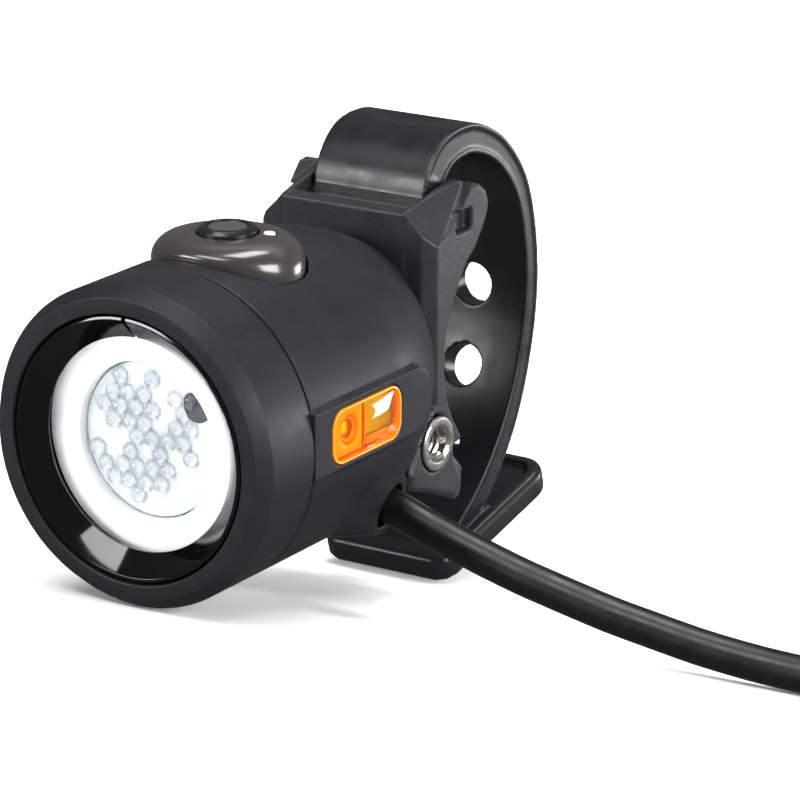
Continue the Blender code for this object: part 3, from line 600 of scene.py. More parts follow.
@dataclass
class Studio:
    """The camera, the bench and its soft lights."""

    azimuth: float = math.radians(32.57)
    elevation: float = math.radians(17.60)
    distance: float = 522.7
    target: Vector = field(default_factory=lambda: Vector((42.48, 0.0, 14.23)))
    lens: float = 190.07

    def camera(self) -> None:
        """Places the camera, which is aimed in the lamp's own frame."""
        a, e = self.azimuth, self.elevation
        back = Vector((math.sin(a) * math.cos(e), -math.cos(a) * math.cos(e), math.sin(e)))
        right = Vector((math.cos(a), math.sin(a), 0.0))
        up = back.cross(right)
        turn = Matrix((right, up, back)).transposed()
        data = bpy.data.cameras.new("camera")
        data.lens, data.sensor_width, data.clip_start = self.lens, 36.0, 0.01
        camera = bpy.data.objects.new("camera", data)
        bpy.context.scene.collection.objects.link(camera)
        spot = LAMP @ (self.target + back * self.distance)
        pitch = Matrix.Rotation(PITCH, 3, "X")
        camera.matrix_world = Matrix.Translation(spot) @ (pitch @ turn).to_4x4()
        bpy.context.scene.camera = camera

    def bench(self) -> None:
        """A pale bench that curves up into a backdrop."""
        turns = [math.pi / 2 * i / 24 for i in range(1, 25)]
        sweep = [(1.2 + 0.9 * math.sin(t), 0.9 - 0.9 * math.cos(t)) for t in turns]
        curve = [(-2.5, 0.0), (1.2, 0.0), *sweep, (2.1, 3.0)]
        work = bmesh.new()
        rows = [[work.verts.new((x, y, z)) for x in (-3.0, 3.0)] for y, z in curve]
        for near, far in zip(rows, rows[1:]):
            work.faces.new((near[0], near[1], far[1], far[0]))
        floor = to_object("bench", work)
        s = Shading("matt_white_laminate")
        s.feed(s.surface, "Base Color", s.mix(s.noise(90.0), linear("#fbfbfb"), linear("#f6f6f6")))
        s.surface.inputs["Roughness"].default_value = 0.75
        s.surface.inputs["Specular IOR Level"].default_value = 0.15
        s.feed(s.surface, "Normal", s.bump(s.noise(0.6), 0.004))
        floor.data.materials.append(s.material)
        floor.data.shade_smooth()
        floor.visible_glossy = False

    def light(
        self,
        name: str,
        spot: Sequence[float],
        size: Sequence[float],
        power: float,
        aim: Sequence[float] = (0.01, 0, 0.03),
    ) -> bpy.types.Object:
        """A rectangular softbox, which faces the lamp unless it is aimed elsewhere."""
        data = bpy.data.lights.new(name, "AREA")
        data.shape, data.size, data.size_y, data.energy = "RECTANGLE", size[0], size[1], power
        lamp = bpy.data.objects.new(name, data)
        bpy.context.scene.collection.objects.link(lamp)
        way = Vector(aim) - Vector(spot)
        lamp.matrix_world = Matrix.Translation(spot) @ way.to_track_quat("-Z", "Y").to_matrix().to_4x4()
        return lamp

    def build(self) -> None:
        """Makes it all."""
        self.camera()
        self.bench()
        world = bpy.data.worlds.new("studio")
        world.use_nodes = True
        world.node_tree.nodes["Background"].inputs["Color"].default_value = (1.0, 1.0, 1.0, 1.0)
        world.node_tree.nodes["Background"].inputs["Strength"].default_value = 0.14
        bpy.context.scene.world = world
        bpy.context.scene.view_settings.view_transform = "Standard"
        self.light("overhead", (0.05, 0.0, 0.95), (0.5, 0.3), 6.0)
        self.light("side", (0.9, -0.1, 0.35), (0.5, 0.45), 12.0)
        self.light("ring", (-0.12, -0.58, 0.66), (0.5, 0.3), 4.5)
        self.light("front", (-0.5, -0.8, 0.12), (0.45, 0.3), 7.0)
        self.light("edge", (0.5, 0.85, 0.16), (0.35, 0.22), 3.0)
        backdrop = self.light("backdrop", (0.0, 0.9, 1.7), (2.2, 0.8), 100.0, (0.0, 1.9, 0.1))
        backdrop.visible_glossy = False


# ---------------------------------------------------------------- lead


# From the hood to the coil, in bench millimetres: a stiff, shallow fall to the bench, then along it.
CABLE_ROUTE = [
    (22.6, -5.5, 13.1),
    (27.5, -5.1, 11.6),
    (32.8, -4.7, 10.1),
    (38.1, -4.2, 8.7),
    (42.5, -3.6, 7.7),
    (47.0, -2.9, 6.7),
    (51.7, -2.1, 5.7),
    (57.0, -1.2, 4.8),
    (64.1, -0.1, 3.7),
    (71.0, 1.0, 3.0),
    (76.5, 1.8, 2.7),
    (82.1, 2.4, 2.53),
    (88.7, 2.8, 2.5),
    (97.5, 2.82, 2.5),
]


@dataclass
class Lead:
    """The lead, wound in a coil of two layers, with its tie and connector.

    Attributes:
        pitch: the distance between neighbouring turns.
        outer: the radius of the outermost turn.
        turns: the number of turns from the front of the coil round to its back.
        climb: where the lead climbs to the upper layer, in turns.
        lift: how far the tie's lower band lifts the turns.
    """

    pitch: float = 5.07
    outer: float = 31.6
    turns: float = 4.5
    climb: tuple[float, float] = (1.8, 2.2)
    lift: float = 0.95

    def coil_point(self, turn: float) -> Vector:
        """The centre line after a number of turns."""
        inward = self.outer - self.pitch * turn
        outward = self.outer + 0.15 - self.pitch * (self.turns - turn)
        rise = smoothstep(*self.climb, turn)
        radius = inward + (outward - inward) * smoothstep(self.climb[0] + 0.1, self.climb[1] + 0.1, turn)
        angle = math.tau * turn - math.pi / 2
        x, y = COIL_X + radius * math.cos(angle), COIL_Y + radius * math.sin(angle)
        near = 1.0 - smoothstep(5.0, 17.0, abs(y - COIL_Y))
        raised = self.lift * near if x > COIL_X else 0.0
        return Vector((x, y, CABLE_R + 5.06 * rise + raised))

    def points(self) -> list[Vector]:
        """The whole centre line, in bench millimetres."""
        start = [LAMP_ON_BENCH @ (CABLE_EXIT + CABLE_WAY * d) for d in (-1.3, 1.0)]
        line = catmull(start + [Vector(p) for p in CABLE_ROUTE] + [self.coil_point(0.0)], 3)
        per_turn = 40
        line += [self.coil_point(i / per_turn) for i in range(1, int(self.turns * per_turn) + 1)]
        away = [(99.0, 66.05, 6.6), (92.5, 66.0, 5.2), (PLUG_START + 0.3, PLUG_Y, PLUG_R)]
        return line + catmull([line[-1]] + [Vector(p) for p in away], 4)[1:]

    def build(self) -> None:
        """Makes the lead, its tie and its connector."""
        data = bpy.data.curves.new("lead", "CURVE")
        data.dimensions, data.use_fill_caps = "3D", True
        data.bevel_depth, data.bevel_resolution = CABLE_R * MM, 8
        line = [p * MM for p in self.points()]
        spline = data.splines.new("POLY")
        spline.points.add(len(line) - 1)
        for point, spot in zip(spline.points, line):
            point.co = (*spot, 1.0)
        spline.use_smooth = True
        data.materials.append(JACKET.build())
        lead = bpy.data.objects.new("lead", data)
        bpy.context.scene.collection.objects.link(lead)
        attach(lead, "lamp")
        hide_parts("cable", "cable_coil")
        pieces = [self.tie(), *self.connector()]

    def tie(self) -> bpy.types.Object:
        """The hook-and-loop tie round the coil's outer side, with its free end lapped over the top."""
        low, high = (COIL_X + 16.8, 0.05), (COIL_X + 34.2, 12.1)
        half, thick = 4.5, 0.8
        outer = rounded(low, high, 2.6, 6)
        inner = rounded((low[0] + thick, low[1] + thick), (high[0] - thick, high[1] - thick), 1.9, 6)
        band = prism("cord_tie", outer, COIL_Y - half, COIL_Y + half, "XZ")
        carve(band, [prism("tie_hole", inner, COIL_Y - half - 1, COIL_Y + half + 1, "XZ")])
        lap = rounded((low[0] + 5.0, high[1] - 0.05), (high[0] - 2.5, high[1] + 0.75), 0.3, 3)
        carve(band, [prism("tie_lap", lap, COIL_Y - half + 0.1, COIL_Y + half - 0.1, "XZ")], "UNION")
        return place(bevel(band, 0.15), WEBBING, ["cable_tie"], where=BENCH)

    def connector(self) -> list[bpy.types.Object]:
        """The ribbed boot and the bored metal barrel."""
        profile = [(1.2, 0.0), (3.0, 0.0), (3.5, 9.0), (4.3, 10.4), (4.8, 11.6), (4.8, 22.8)]
        profile += [(4.2, 23.4), (1.2, 23.4)]
        origin, way = (PLUG_START, PLUG_Y, PLUG_R), (-1, 0, 0)
        boot = lathe("plug_boot", fillet(profile, 0.5), 96, origin, way)
        cuts = []
        for i in range(3):
            for side in (-1, 1):
                x = PLUG_START - 2.6 - 2.4 * i
                y0, y1 = sorted((PLUG_Y + side * 2.2, PLUG_Y + side * 6.0))
                low, high = (x - 0.5, y0, PLUG_R - 2.4), (x + 0.5, y1, PLUG_R + 2.4)
                cuts.append(block(f"relief_{i}_{side}", low, high))
        for i in range(9):
            turn = math.tau * i / 9
            spot = Vector((0, PLUG_Y + 5.0 * math.cos(turn), PLUG_R + 5.0 * math.sin(turn)))
            ends = [spot + Vector((PLUG_START - d, 0, 0)) for d in (14.0, 21.5)]
            cuts.append(rod(f"grip_{i}", *ends, 0.55, 16))
        carve(boot, cuts)
        place(bevel(boot, 0.12), JACKET, ["connector_plug"], where=BENCH)
        contact = [(2.75, 17.8), (2.75, 26.0), (2.55, 26.3), (2.55, 27.0), (2.75, 27.3), (2.75, 32.0)]
        contact += [(2.4, 32.4), (1.5, 32.4), (1.25, 32.1), (1.25, 24.0), (0.9, 24.0), (0.9, 17.8)]
        barrel = lathe("plug_barrel", contact, 96, origin, way)
        place(barrel, NICKEL, ["connector_barrel"], where=BENCH)
        return [boot, barrel]


# ---------------------------------------------------------------- barrel


def barrel_half_widths(y: float, skin: float = 0.0) -> tuple[float, float]:
    """The barrel's half width and half height at a distance back, less a skin."""
    share = max(0.0, (y - TAPER_START) / (BARREL_END - TAPER_START)) ** 1.8
    half_x = BARREL_R + (TAIL_HALF_X - BARREL_R) * share
    half_z = BARREL_R + (TAIL_HALF_Z - BARREL_R) * share
    return half_x - skin, half_z - skin


def ellipse(half_x: float, half_z: float, y: float, steps: int = 192) -> list[tuple[float, float, float]]:
    """An ellipse across the barrel."""
    turns = [math.tau * i / steps for i in range(steps)]
    return [(half_x * math.cos(t), y, half_z * math.sin(t)) for t in turns]


def cover_height(x: float, share: float) -> float:
    """The button cover's height above the axis; share is 0 at its middle and 1 at its edge."""
    over_barrel = math.sqrt(BARREL_R**2 - x * x) + 0.45
    flat = 0.42
    if share <= flat:
        return COVER_TOP
    fall = math.sqrt(max(0.0, 1.0 - ((share - flat) / (1.0 - flat)) ** 2.4))
    return over_barrel + (COVER_TOP - over_barrel) * fall


def oval(
    share: float, height: float | None, grow: float = 0.0, steps: int = 128
) -> list[tuple[float, float, float]]:
    """A ring of the button cover, at a height or on its dome."""
    points = []
    for i in range(steps):
        turn = math.tau * i / steps
        x = (COVER_HALF_X + grow) * share * math.cos(turn)
        y = BUTTON_Y + (COVER_HALF_Y + grow) * share * math.sin(turn)
        points.append((x, y, cover_height(x, share) if height is None else height))
    return points


@dataclass
class LensEnd:
    """The bezel, the gloss ring, the front glass and the optic behind it."""

    cell: float = 2.5
    optic_r: float = 10.6

    def build(self) -> None:
        """Makes it all."""
        bore = 18.3
        profile = [(20.5, 0), (22, 2.1), (22, 11.6), (20.3, 11.6), (20.3, 5.3), (bore, 5.3), (bore, 0)]
        bezel = lathe("front_bezel", fillet(profile, 0.3, 5), 256)
        place(bezel, SHELL, ["bezel"])
        profile = [(18.0, 0.35), (18.0, 3.4), (14.6, 3.4), (14.6, 3.0), (17.5, 0.2)]
        ring = lathe("gloss_ring", fillet(profile, 0.16, 4), 256)
        carve(ring, [block("ring_split", (-0.35, -1, 10), (0.35, 5, 20))])
        place(ring, GLOSS, ["lens_retaining_ring"], sharp=24)
        glass = lathe("front_glass", fillet([(0, 3.7), (18, 3.7), (18, 4.7), (0, 4.7)], 0.08), 192)
        clear = thin_pane("clear_toughened_glass", (0.985, 0.99, 0.995, 1.0), 0.02)
        place(glass, clear, ["front_lens"])
        gasket = lathe("glass_gasket", fillet([(18, 5.0), (18, 6.2), (15.9, 6.2), (15.9, 5.0)], 0.25), 192)
        place(gasket, SEAL_RUBBER, ["lens_gasket"])
        profile = [(15.6, 4.85), (15.6, 5.8), (13.7, 6.1), (13.7, 15.9), (5.3, 15.9), (5.3, 15.2)]
        profile += [(10.9, 7.0), (10.9, 4.85)]
        place(lathe("holder_ring", fillet(profile, 0.15), 192), HOLDER, ["optic_holder"])
        peg = rod("optic_peg", (7.3, 6.0, 5.5), (7.3, 7.5, 5.5), 2.1, 64)
        place(bevel(peg, 0.15), PEG)
        profile = [(0, 6.3), (self.optic_r, 6.3), (self.optic_r, 6.9), (5.0, 14.9), (0, 14.9)]
        core = lathe("optic_core", profile, 128)
        place(core, CORE, ["optic"])
        self.lenslets()

    def lenslets(self) -> None:
        """The optic's face of small domes in hexagonal rows, by Geometry Nodes on a lattice of points."""
        noise.seed_set(DOME_SEED)
        work = bmesh.new()
        for j in range(-5, 6):
            for i in range(-5, 6):
                spot = Vector(((i + (j % 2) / 2) * self.cell, 0.0, j * self.cell * 0.8 + 0.12 * i))
                worn = noise.noise(spot * 0.31 + Vector((2.0, 0.0, 5.0)))
                smooth = worn > 0.12 or spot.x - spot.z > 8.5
                if spot.length < self.optic_r - 1.0 and not smooth:
                    jitter = noise.noise_vector(spot + Vector((0.4, 3.7, 1.1))) * 0.35
                    work.verts.new((spot.x + jitter.x, 6.25 + 0.3 * jitter.y, spot.z + jitter.z))
        piece = to_object("optic_lenslets", work)
        tree = bpy.data.node_groups.new("lenslets", "GeometryNodeTree")
        tree.interface.new_socket("Geometry", in_out="INPUT", socket_type="NodeSocketGeometry")
        radius = tree.interface.new_socket("Dome radius", in_out="INPUT", socket_type="NodeSocketFloat")
        tree.interface.new_socket("Geometry", in_out="OUTPUT", socket_type="NodeSocketGeometry")
        nodes, links = tree.nodes, tree.links
        taken = nodes.new("NodeGroupInput")
        ball = nodes.new("GeometryNodeMeshUVSphere")
        ball.inputs["Segments"].default_value, ball.inputs["Rings"].default_value = 28, 18
        spots = nodes.new("GeometryNodeInstanceOnPoints")
        real = nodes.new("GeometryNodeRealizeInstances")
        paint = nodes.new("GeometryNodeSetMaterial")
        paint.inputs["Material"].default_value = OPTIC_FACE.build()
        given = nodes.new("NodeGroupOutput")
        links.new(taken.outputs["Geometry"], spots.inputs["Points"])
        links.new(taken.outputs["Dome radius"], ball.inputs["Radius"])
        links.new(ball.outputs["Mesh"], spots.inputs["Instance"])
        links.new(spots.outputs["Instances"], real.inputs["Geometry"])
        links.new(real.outputs["Geometry"], paint.inputs["Geometry"])
        links.new(paint.outputs["Geometry"], given.inputs["Geometry"])
        step = piece.modifiers.new("lenslets", "NODES")
        step.node_group = tree
        step[radius.identifier] = self.cell * 0.46
        bake(piece)
        place(piece, OPTIC_FACE, ["optic"], sharp=80)


@dataclass
class Barrel:
    """The body with its pads and hood, and its windows."""

    window_low: tuple[float, float] = (15.9, -2.9)
    window_high: tuple[float, float] = (32.3, 4.6)
    divider: float = 24.2

    def hood(self) -> bpy.types.Object:
        """The faceted swelling that the lead comes out of."""
        side = CABLE_WAY.cross(Vector((0, 1, 0))).normalized()
        up = side.cross(CABLE_WAY).normalized()
        turns = [math.tau * i / 40 for i in range(40)]
        rim = [CABLE_EXIT + CABLE_WAY * 0.2 + 4.5 * (math.cos(t) * side + math.sin(t) * up) for t in turns]
        crease = [(21.1, 31.6, -5.6), (20.4, 28.2, -7.8), (19.0, 26.6, -10.6), (16.6, 26.0, -14.2)]
        crease += [(13.4, 27.2, -17.2)]
        inside = [(8.0, 28.0, -8.0), (8.0, 28.0, -15.0), (8.0, 43.0, -8.0), (8.0, 41.0, -16.0)]
        inside += [(11.0, 31.0, -19.0)]
        return hull("cable_hood", rim + crease + inside)

    def shell(self) -> None:
        """The moulded body."""
        stations = [(6.5, 19.7, 19.7), (6.8, 20.0, 20.0), (BARREL_FRONT, 20.0, 20.0)]
        stations += [(BARREL_FRONT, 21.8, 21.8), (BARREL_FRONT + 0.2, BARREL_R, BARREL_R)]
        taper = [TAPER_START + (BARREL_END - TAPER_START) * i / 24 for i in range(25)]
        stations += [(y, *barrel_half_widths(y)) for y in taper]
        body = loft("lamp_body", [ellipse(half_x, half_z, y) for y, half_x, half_z in stations])
        pad = [(11.65, PAD_Z[0]), (36.3, PAD_Z[0]), *arc(36.3, -0.1, 3.5, -90, 0, 10)[1:]]
        pad += [*arc(36.3, 2.1, 3.5, 0, 90, 10), (11.65, PAD_Z[1])]
        pads = [prism(f"pad_{side}", pad, *sorted((side * 20.6, side * PAD_X))) for side in (-1, 1)]
        carve(body, [*pads, self.hood()], "UNION")
        inner = [(4.5, 18.4, 18.4)]
        for i in range(9):
            y = TAPER_START + (44.5 - TAPER_START) * i / 8
            inner.append((y, *barrel_half_widths(y, 3.6)))
        cuts = [loft("cavity", [ellipse(half_x, half_z, y, 96) for y, half_x, half_z in inner])]
        gap = 0.14
        low, high = self.window_low, self.window_high
        opening = rounded((low[0] - gap, low[1] - gap), (high[0] + gap, high[1] + gap), 2.5)
        for side in (-1, 1):
            cuts.append(prism(f"window_{side}", opening, *sorted((side * 15.0, side * 24.0))))
        cuts.append(loft("cover_hole", [oval(1.0, 14.0, 0.3), oval(1.0, 30.0, 0.3)]))
        ends = CABLE_EXIT - CABLE_WAY * 14, CABLE_EXIT + CABLE_WAY * 4
        cuts.append(rod("cable_bore", *ends, HOOD_HOLE_R))
        for i, height in enumerate(SCREW_Z):
            cuts.append(rod(f"screw_hole_{i}", (0, 46.5, height), (0, 53, height), 1.55))
        relief = [(45.4, -20), (45.6, -13.6), (46.6, -9.6), (48.9, -5.4), (50.6, -3.6), (54, -3.6), (54, -20)]
        for side in (-1, 1):
            cuts.append(prism(f"lug_relief_{side}", relief, *sorted((side * 9.3, side * 20.0))))
        carve(body, cuts)
        place(moulded(body, 0.22, 1, 0.35), SHELL, ["body_shell"], sharp=60)

    def window(self, side: int, word: str) -> None:
        """One window: its amber pane and rim, and the two cells behind them."""
        low, high = self.window_low, self.window_high
        rim = self._ring(f"window_rim_{word}", side, 0.0, 0.32, 19.0, 22.14)
        place(bevel(rim, 0.1, 3), AMBER_RIM, [f"side_window_{word}"])
        rings = []
        for x, inset in ((21.3, 0.27), (21.95, 0.27), (22.08, 0.4)):
            corners = (low[0] + inset, low[1] + inset), (high[0] - inset, high[1] - inset)
            outline = rounded(*corners, 2.4 - inset, 10)
            rings.append([(side * x, y, z) for y, z in outline])
        pane = loft(f"window_pane_{word}", rings)
        place(pane, thin_pane("amber_tinted_polycarbonate", (1.0, 0.84, 0.5, 1.0), 0.04), sharp=50)
        span = self._span(side, (18.6, low[0] + 0.4, low[1] + 0.4), (21.1, self.divider, 4.2))
        bowl = block(f"front_reflector_{word}", *span)
        centre = (side * 19.4, 21.2, 0.85)
        mouth = [(0, 0), (1.1, 0), (1.4, 0.9), (1.9, 0.9), (2.3, 2.4), (0, 2.4)]
        carve(bowl, [lathe("bowl_cut", mouth, 64, centre, (side, 0, 0))])
        place(bevel(bowl, 0.15), CELL_FRONT)
        profile = [(1.3, 0.7), (1.75, 0.7), (1.75, 1.4), (1.3, 1.2)]
        ring = lathe(f"reflector_ring_{word}", profile, 64, centre, (side, 0, 0))
        place(ring, CELL_LEDGE)
        chip = block(f"side_led_chip_{word}", *self._span(side, (19.4, 20.4, 0.05), (20.1, 22.0, 1.65)))
        place(bevel(chip, 0.15), PHOSPHOR, [f"side_led_board_{word}"])
        bow = [math.pi * i / 12 for i in range(13)]
        wall = [(self.divider + 0.5 * math.sin(t), 0.85 + 3.4 * math.cos(t)) for t in bow]
        wall += [(y + 0.3, z) for y, z in reversed(wall)]
        divider = prism(f"window_divider_{word}", wall, *sorted((side * 18.4, side * 21.1)))
        place(divider, AMBER_RIM)
        span = self._span(side, (19.2, self.divider + 0.7, low[1] + 0.4), (20.7, 31.9, 4.2))
        board = block(f"rear_cell_{word}", *span)
        place(bevel(board, 0.15), CELL_REAR)
        span = self._span(side, (20.6, self.divider + 0.8, -2.4), (21.15, 31.7, -1.2))
        ledge = block(f"rear_cell_ledge_{word}", *span)
        place(bevel(ledge, 0.15), CELL_LEDGE)

    def _ring(
        self, name: str, side: int, outer: float, inner: float, low: float, high: float
    ) -> bpy.types.Object:
        """A frame inside the window's outline, between two insets."""
        outlines = []
        for inset in (outer, inner):
            ends = (self.window_low, 1), (self.window_high, -1)
            corners = [[corner[0] + way * inset, corner[1] + way * inset] for corner, way in ends]
            outlines.append(rounded(*corners, 2.4 - inset, 10))
        ring = prism(name, outlines[0], *sorted((side * low, side * high)))
        return carve(ring, [prism("hole", outlines[1], *sorted((side * (low - 2), side * (high + 2))))])

    def _span(self, side: int, low: Sequence[float], high: Sequence[float]) -> tuple[tuple, tuple]:
        """A block's corners, mirrored for the left side."""
        x0, x1 = sorted((side * low[0], side * high[0]))
        return (x0, *low[1:]), (x1, *high[1:])

    def build(self) -> None:
        """Makes it all."""
        self.shell()
        for side, word in ((-1, "left"), (1, "right")):
            self.window(side, word)


@dataclass
class Switch:
    """The smoke cover, the button in it and its status light."""

    def build(self) -> None:
        """Makes it all."""
        shares = [1.0, 0.995, 0.98, 0.96, 0.93, 0.89, 0.84, 0.79, 0.73, 0.67, 0.61, 0.55, 0.49, 0.42]
        cover = loft("smoke_cover", [oval(1.0, 16.9)] + [oval(share, None) for share in shares])
        cuts = [loft("cover_hollow", [oval(0.8, 15.0), oval(0.8, 20.6), oval(0.62, 22.4)])]
        cuts.append(rod("button_hole", (0, BUTTON_Y, 18), (0, BUTTON_Y, 27), 4.3, 96))
        cuts.append(rod("light_hole", (*LIGHT_AT, 20), (*LIGHT_AT, 27), 1.1))
        carve(cover, cuts)
        place(bevel(cover, 0.12, 2, 50), SMOKE, ["button_cover"], sharp=45)
        profile = [(2.75, 24.5), (2.95, 24.95), (3.55, 24.9), (4.0, 24.4), (4.0, 22.0), (5.4, 21.9)]
        profile += [(5.4, 21.2), (1.6, 21.2), (1.6, 20.0), (0, 20.0), (0, 24.5)]
        button = lathe("button_pad", profile, 128, (0, BUTTON_Y, 0), (0, 0, 1))
        carve(button, [rod("light_notch", (*LIGHT_AT, 20.6), (*LIGHT_AT, 22.6), 1.15)])
        place(bevel(button, 0.12, 3, 30), BUTTON_RUBBER, ["power_button"], "button")
        profile = fillet([(0, 24.4), (2.65, 24.4), (2.65, 24.8), (0, 24.8)], 0.12)
        cap = lathe("button_cap", profile, 96, (0, BUTTON_Y, 0), (0, 0, 1))
        # The cap's lighter grey is painted reflection on the button's top.
        place(cap, BUTTON_CAP_PAINTED_REFLECTION, (), "button")
        profile = [(0, 18.6), (0.8, 18.6), (0.85, 23.8), (0.7, 24.05), (0, 24.15)]
        light = lathe("status_lens", profile, 48, (*LIGHT_AT, 0), (0, 0, 1))
        place(light, STATUS_LENS, ["status_light"])


# ---------------------------------------------------------------- cradle


def bar_arc(radius: float, first: float, last: float, steps: int) -> list[tuple[float, float]]:
    """Points on a circle about the bar's axis, by angle from +Y, as (y, z)."""
    return arc(BAR_Y, BAR_Z, radius, first, last, steps)


@dataclass
class Cradle:
    """The nylon bracket with its inserts, screws, pin and rubber saddle."""

    def outline(self) -> list[tuple[float, float]]:
        """One side's outline in y and z: ear, front edge, lug, horn under the bar and neck."""
        front = WALL_FRONT + 0.2
        ear = [(65.4, 17.2), (66.6, 19.2), (66.9, 20.6), (66.1, 22.5), (64.2, 23.8), (60.0, 23.4)]
        ear += [(front, 21.7)]
        lug = [(52.0, -4.2), (49.3, -8.0), (47.2, -11.0), (46.1, -13.5), (45.9, -16.1), (51.7, -18.0)]
        lug += [(58.1, -20.8), (59.5, -20.6), (60.0, -18.8), (60.1, -16.5), (57.7, -13.9), (57.7, -12.6)]
        horn = [(59.7, -12.25), (59.7, -11.6), (57.8, -8.9), (56.4, -6.2), (55.6, -3.6), (55.4, -0.8)]
        neck = [(55.6, 2.6), (56.3, 5.3), (57.6, 8.0), (59.4, 10.8), (61.3, 13.2), (63.5, 14.8)]
        return ear + [(front, 14.0), (front, -1.0)] + lug + horn + neck

    def chamfer(self, side: int) -> bpy.types.Object:
        """What comes off the outer top edge of an ear, leaving two long facets."""
        half = BRACKET_HALF_X
        low = [(9.9, 51.0, 21.75), (12.9, 51.0, 19.0), (half + 0.1, 53.6, 17.1), (half + 0.1, 59.5, 22.1)]
        low += [(half + 0.1, 61.5, 23.4), (11.5, 65.0, 24.2)]
        high = [(9.9, 51.0, 30.0), (19.0, 51.0, 30.0), (19.0, 65.0, 30.0), (11.5, 65.0, 30.0)]
        high += [(19.0, 51.0, 15.0)]
        return hull(f"ear_chamfer_{side}", [(side * x, y, z) for x, y, z in low + high])

    def bracket(self) -> None:
        """The bracket moulding."""
        core = [(WALL_FRONT + 0.4, -16.6), (WALL_FRONT + 0.4, 13.2), (58.9, 13.2)]
        core += [*bar_arc(18.3, 138, 236, 40), (62.6, -17.0), (60.5, -18.2), (56.0, -18.6)]
        bracket = prism("cradle", core, -10.4, 10.4)
        adds = [block("front_wall", (-10.1, WALL_FRONT, -4.5), (10.1, 54.6, 21.7))]
        for side in (-1, 1):
            adds.append(prism(f"side_{side}", self.outline(), *sorted((side * 9.7, side * BRACKET_HALF_X))))
            lug = [(50.9, -6.6), (48.0, -11.2), (46.5, -13.9), (46.3, -15.9), (51.7, -17.6), (57.6, -20.0)]
            lug += [(59.0, -17.5), (57.2, -14.4), (56.8, -11.0), (54.5, -7.4)]
            low, high = sorted((side * 12.0, side * (BRACKET_HALF_X + 0.45)))
            adds.append(prism(f"lug_boss_{side}", lug, low, high))
        hook = [(53.5, -16.0), (60.0, -17.0), (59.3, -24.0), (61.0, -26.2), (56.8, -26.8)]
        adds.append(prism("strap_hook", hook, -4, 4))
        carve(bracket, adds, "UNION")
        cuts = []
        for side in (-1, 1):
            cuts.append(self.chamfer(side))
            corner = [(12.9, 50.0), (12.9, WALL_FRONT + 0.2), (BRACKET_HALF_X + 0.6, 53.95)]
            corner += [(18, 53.95), (18, 50.0)]
            cuts.append(prism(f"front_chamfer_{side}", [(side * x, y) for x, y in corner], -6.0, 26.0, "XY"))
            low, high = sorted((side * 13.2, side * 16.0))
            cuts.append(block(f"pin_window_{side}", (low, 58.3, 17.8), (high, 62.3, 20.7)))
            ends = [Vector((side * x, INSERT_Y, INSERT_Z)) for x in (10.8, 16.0)]
            cuts.append(rod(f"insert_hole_{side}", *ends, 4.0, 96))
        cuts.append(rod("bar_clearance", (-20, BAR_Y, BAR_Z), (20, BAR_Y, BAR_Z), SADDLE_R, 192))
        cuts.append(rod("pin_bore", (-11.9, PIN_Y, PIN_Z), (11.9, PIN_Y, PIN_Z), 1.7))
        for i, height in enumerate(SCREW_Z):
            cuts.append(rod(f"wall_screw_hole_{i}", (0, 50, height), (0, 60, height), 1.55))
            cuts.append(rod(f"screw_seat_{i}", (0, 53.4, height), (0, 62, height), 2.9))
        carve(bracket, cuts)
        place(moulded(bracket, 0.22, 2, 0.5), NYLON, ["cradle_bracket"], sharp=60)

    def insert(self, side: int, word: str) -> None:
        """A flanged nickel insert with a cut thread."""
        profile = [(3.9, 14.8), (3.9, 15.15), (3.7, 15.35), (2.75, 15.35), (2.3, 14.9), (2.3, 11.1)]
        profile += [(3.4, 11.1), (3.4, 14.8)]
        origin = Vector((0, INSERT_Y, INSERT_Z))
        sleeve = lathe(f"insert_{word}", fillet(profile, 0.1), 128, origin, (side, 0, 0))
        place(sleeve, NICKEL, [f"threaded_insert_{word}"])
        pitch, steps = 0.8, 48
        rings = []
        for i in range(int(3.1 / pitch * steps)):
            turn = math.tau * i / steps
            x = 11.25 + pitch * i / steps
            out = Vector((0, math.cos(turn), math.sin(turn)))
            section = [(2.42, -0.36), (1.98, -0.06), (1.98, 0.06), (2.42, 0.36)]
            rings.append([tuple(origin + out * r + Vector((side * (x + d), 0, 0))) for r, d in section])
        place(loft(f"insert_thread_{word}", rings), NICKEL)

    def screw(self, word: str, height: float) -> None:
        """A pan-head screw with a hexagonal socket."""
        profile = [(0, 47.0), (1.1, 47.0), (1.25, 47.2), (1.25, 53.7), (2.6, 53.7), (2.6, 54.5)]
        profile += [(2.3, 54.95), (1.7, 55.1), (0, 55.1)]
        made = lathe(f"cap_screw_{word}", profile, 64, (0, 0, height))
        carve(made, [rod("socket", (0, 54.2, height), (0, 57, height), 1.0, 6)])
        place(bevel(made, 0.06), STEEL, [f"bracket_screw_{word}"])

    def saddle(self) -> None:
        """The ribbed rubber saddle that the bar sits in."""
        pad = bar_arc(SADDLE_R, 134, 238, 72) + bar_arc(SADDLE_R + 1.2, 238, 134, 72)
        saddle = prism("ribbed_saddle", pad, -9.3, 9.3)
        ribs = []
        for i in range(9):
            x = -8.0 + 2.0 * i
            rib = bar_arc(SADDLE_R - 0.3, 137, 235, 60) + bar_arc(SADDLE_R + 0.5, 235, 137, 60)
            ribs.append(prism(f"rib_{i}", rib, x - 0.45, x + 0.45))
        carve(saddle, ribs, "UNION")
        place(bevel(saddle, 0.1), SADDLE_RUBBER, ["bar_saddle"])

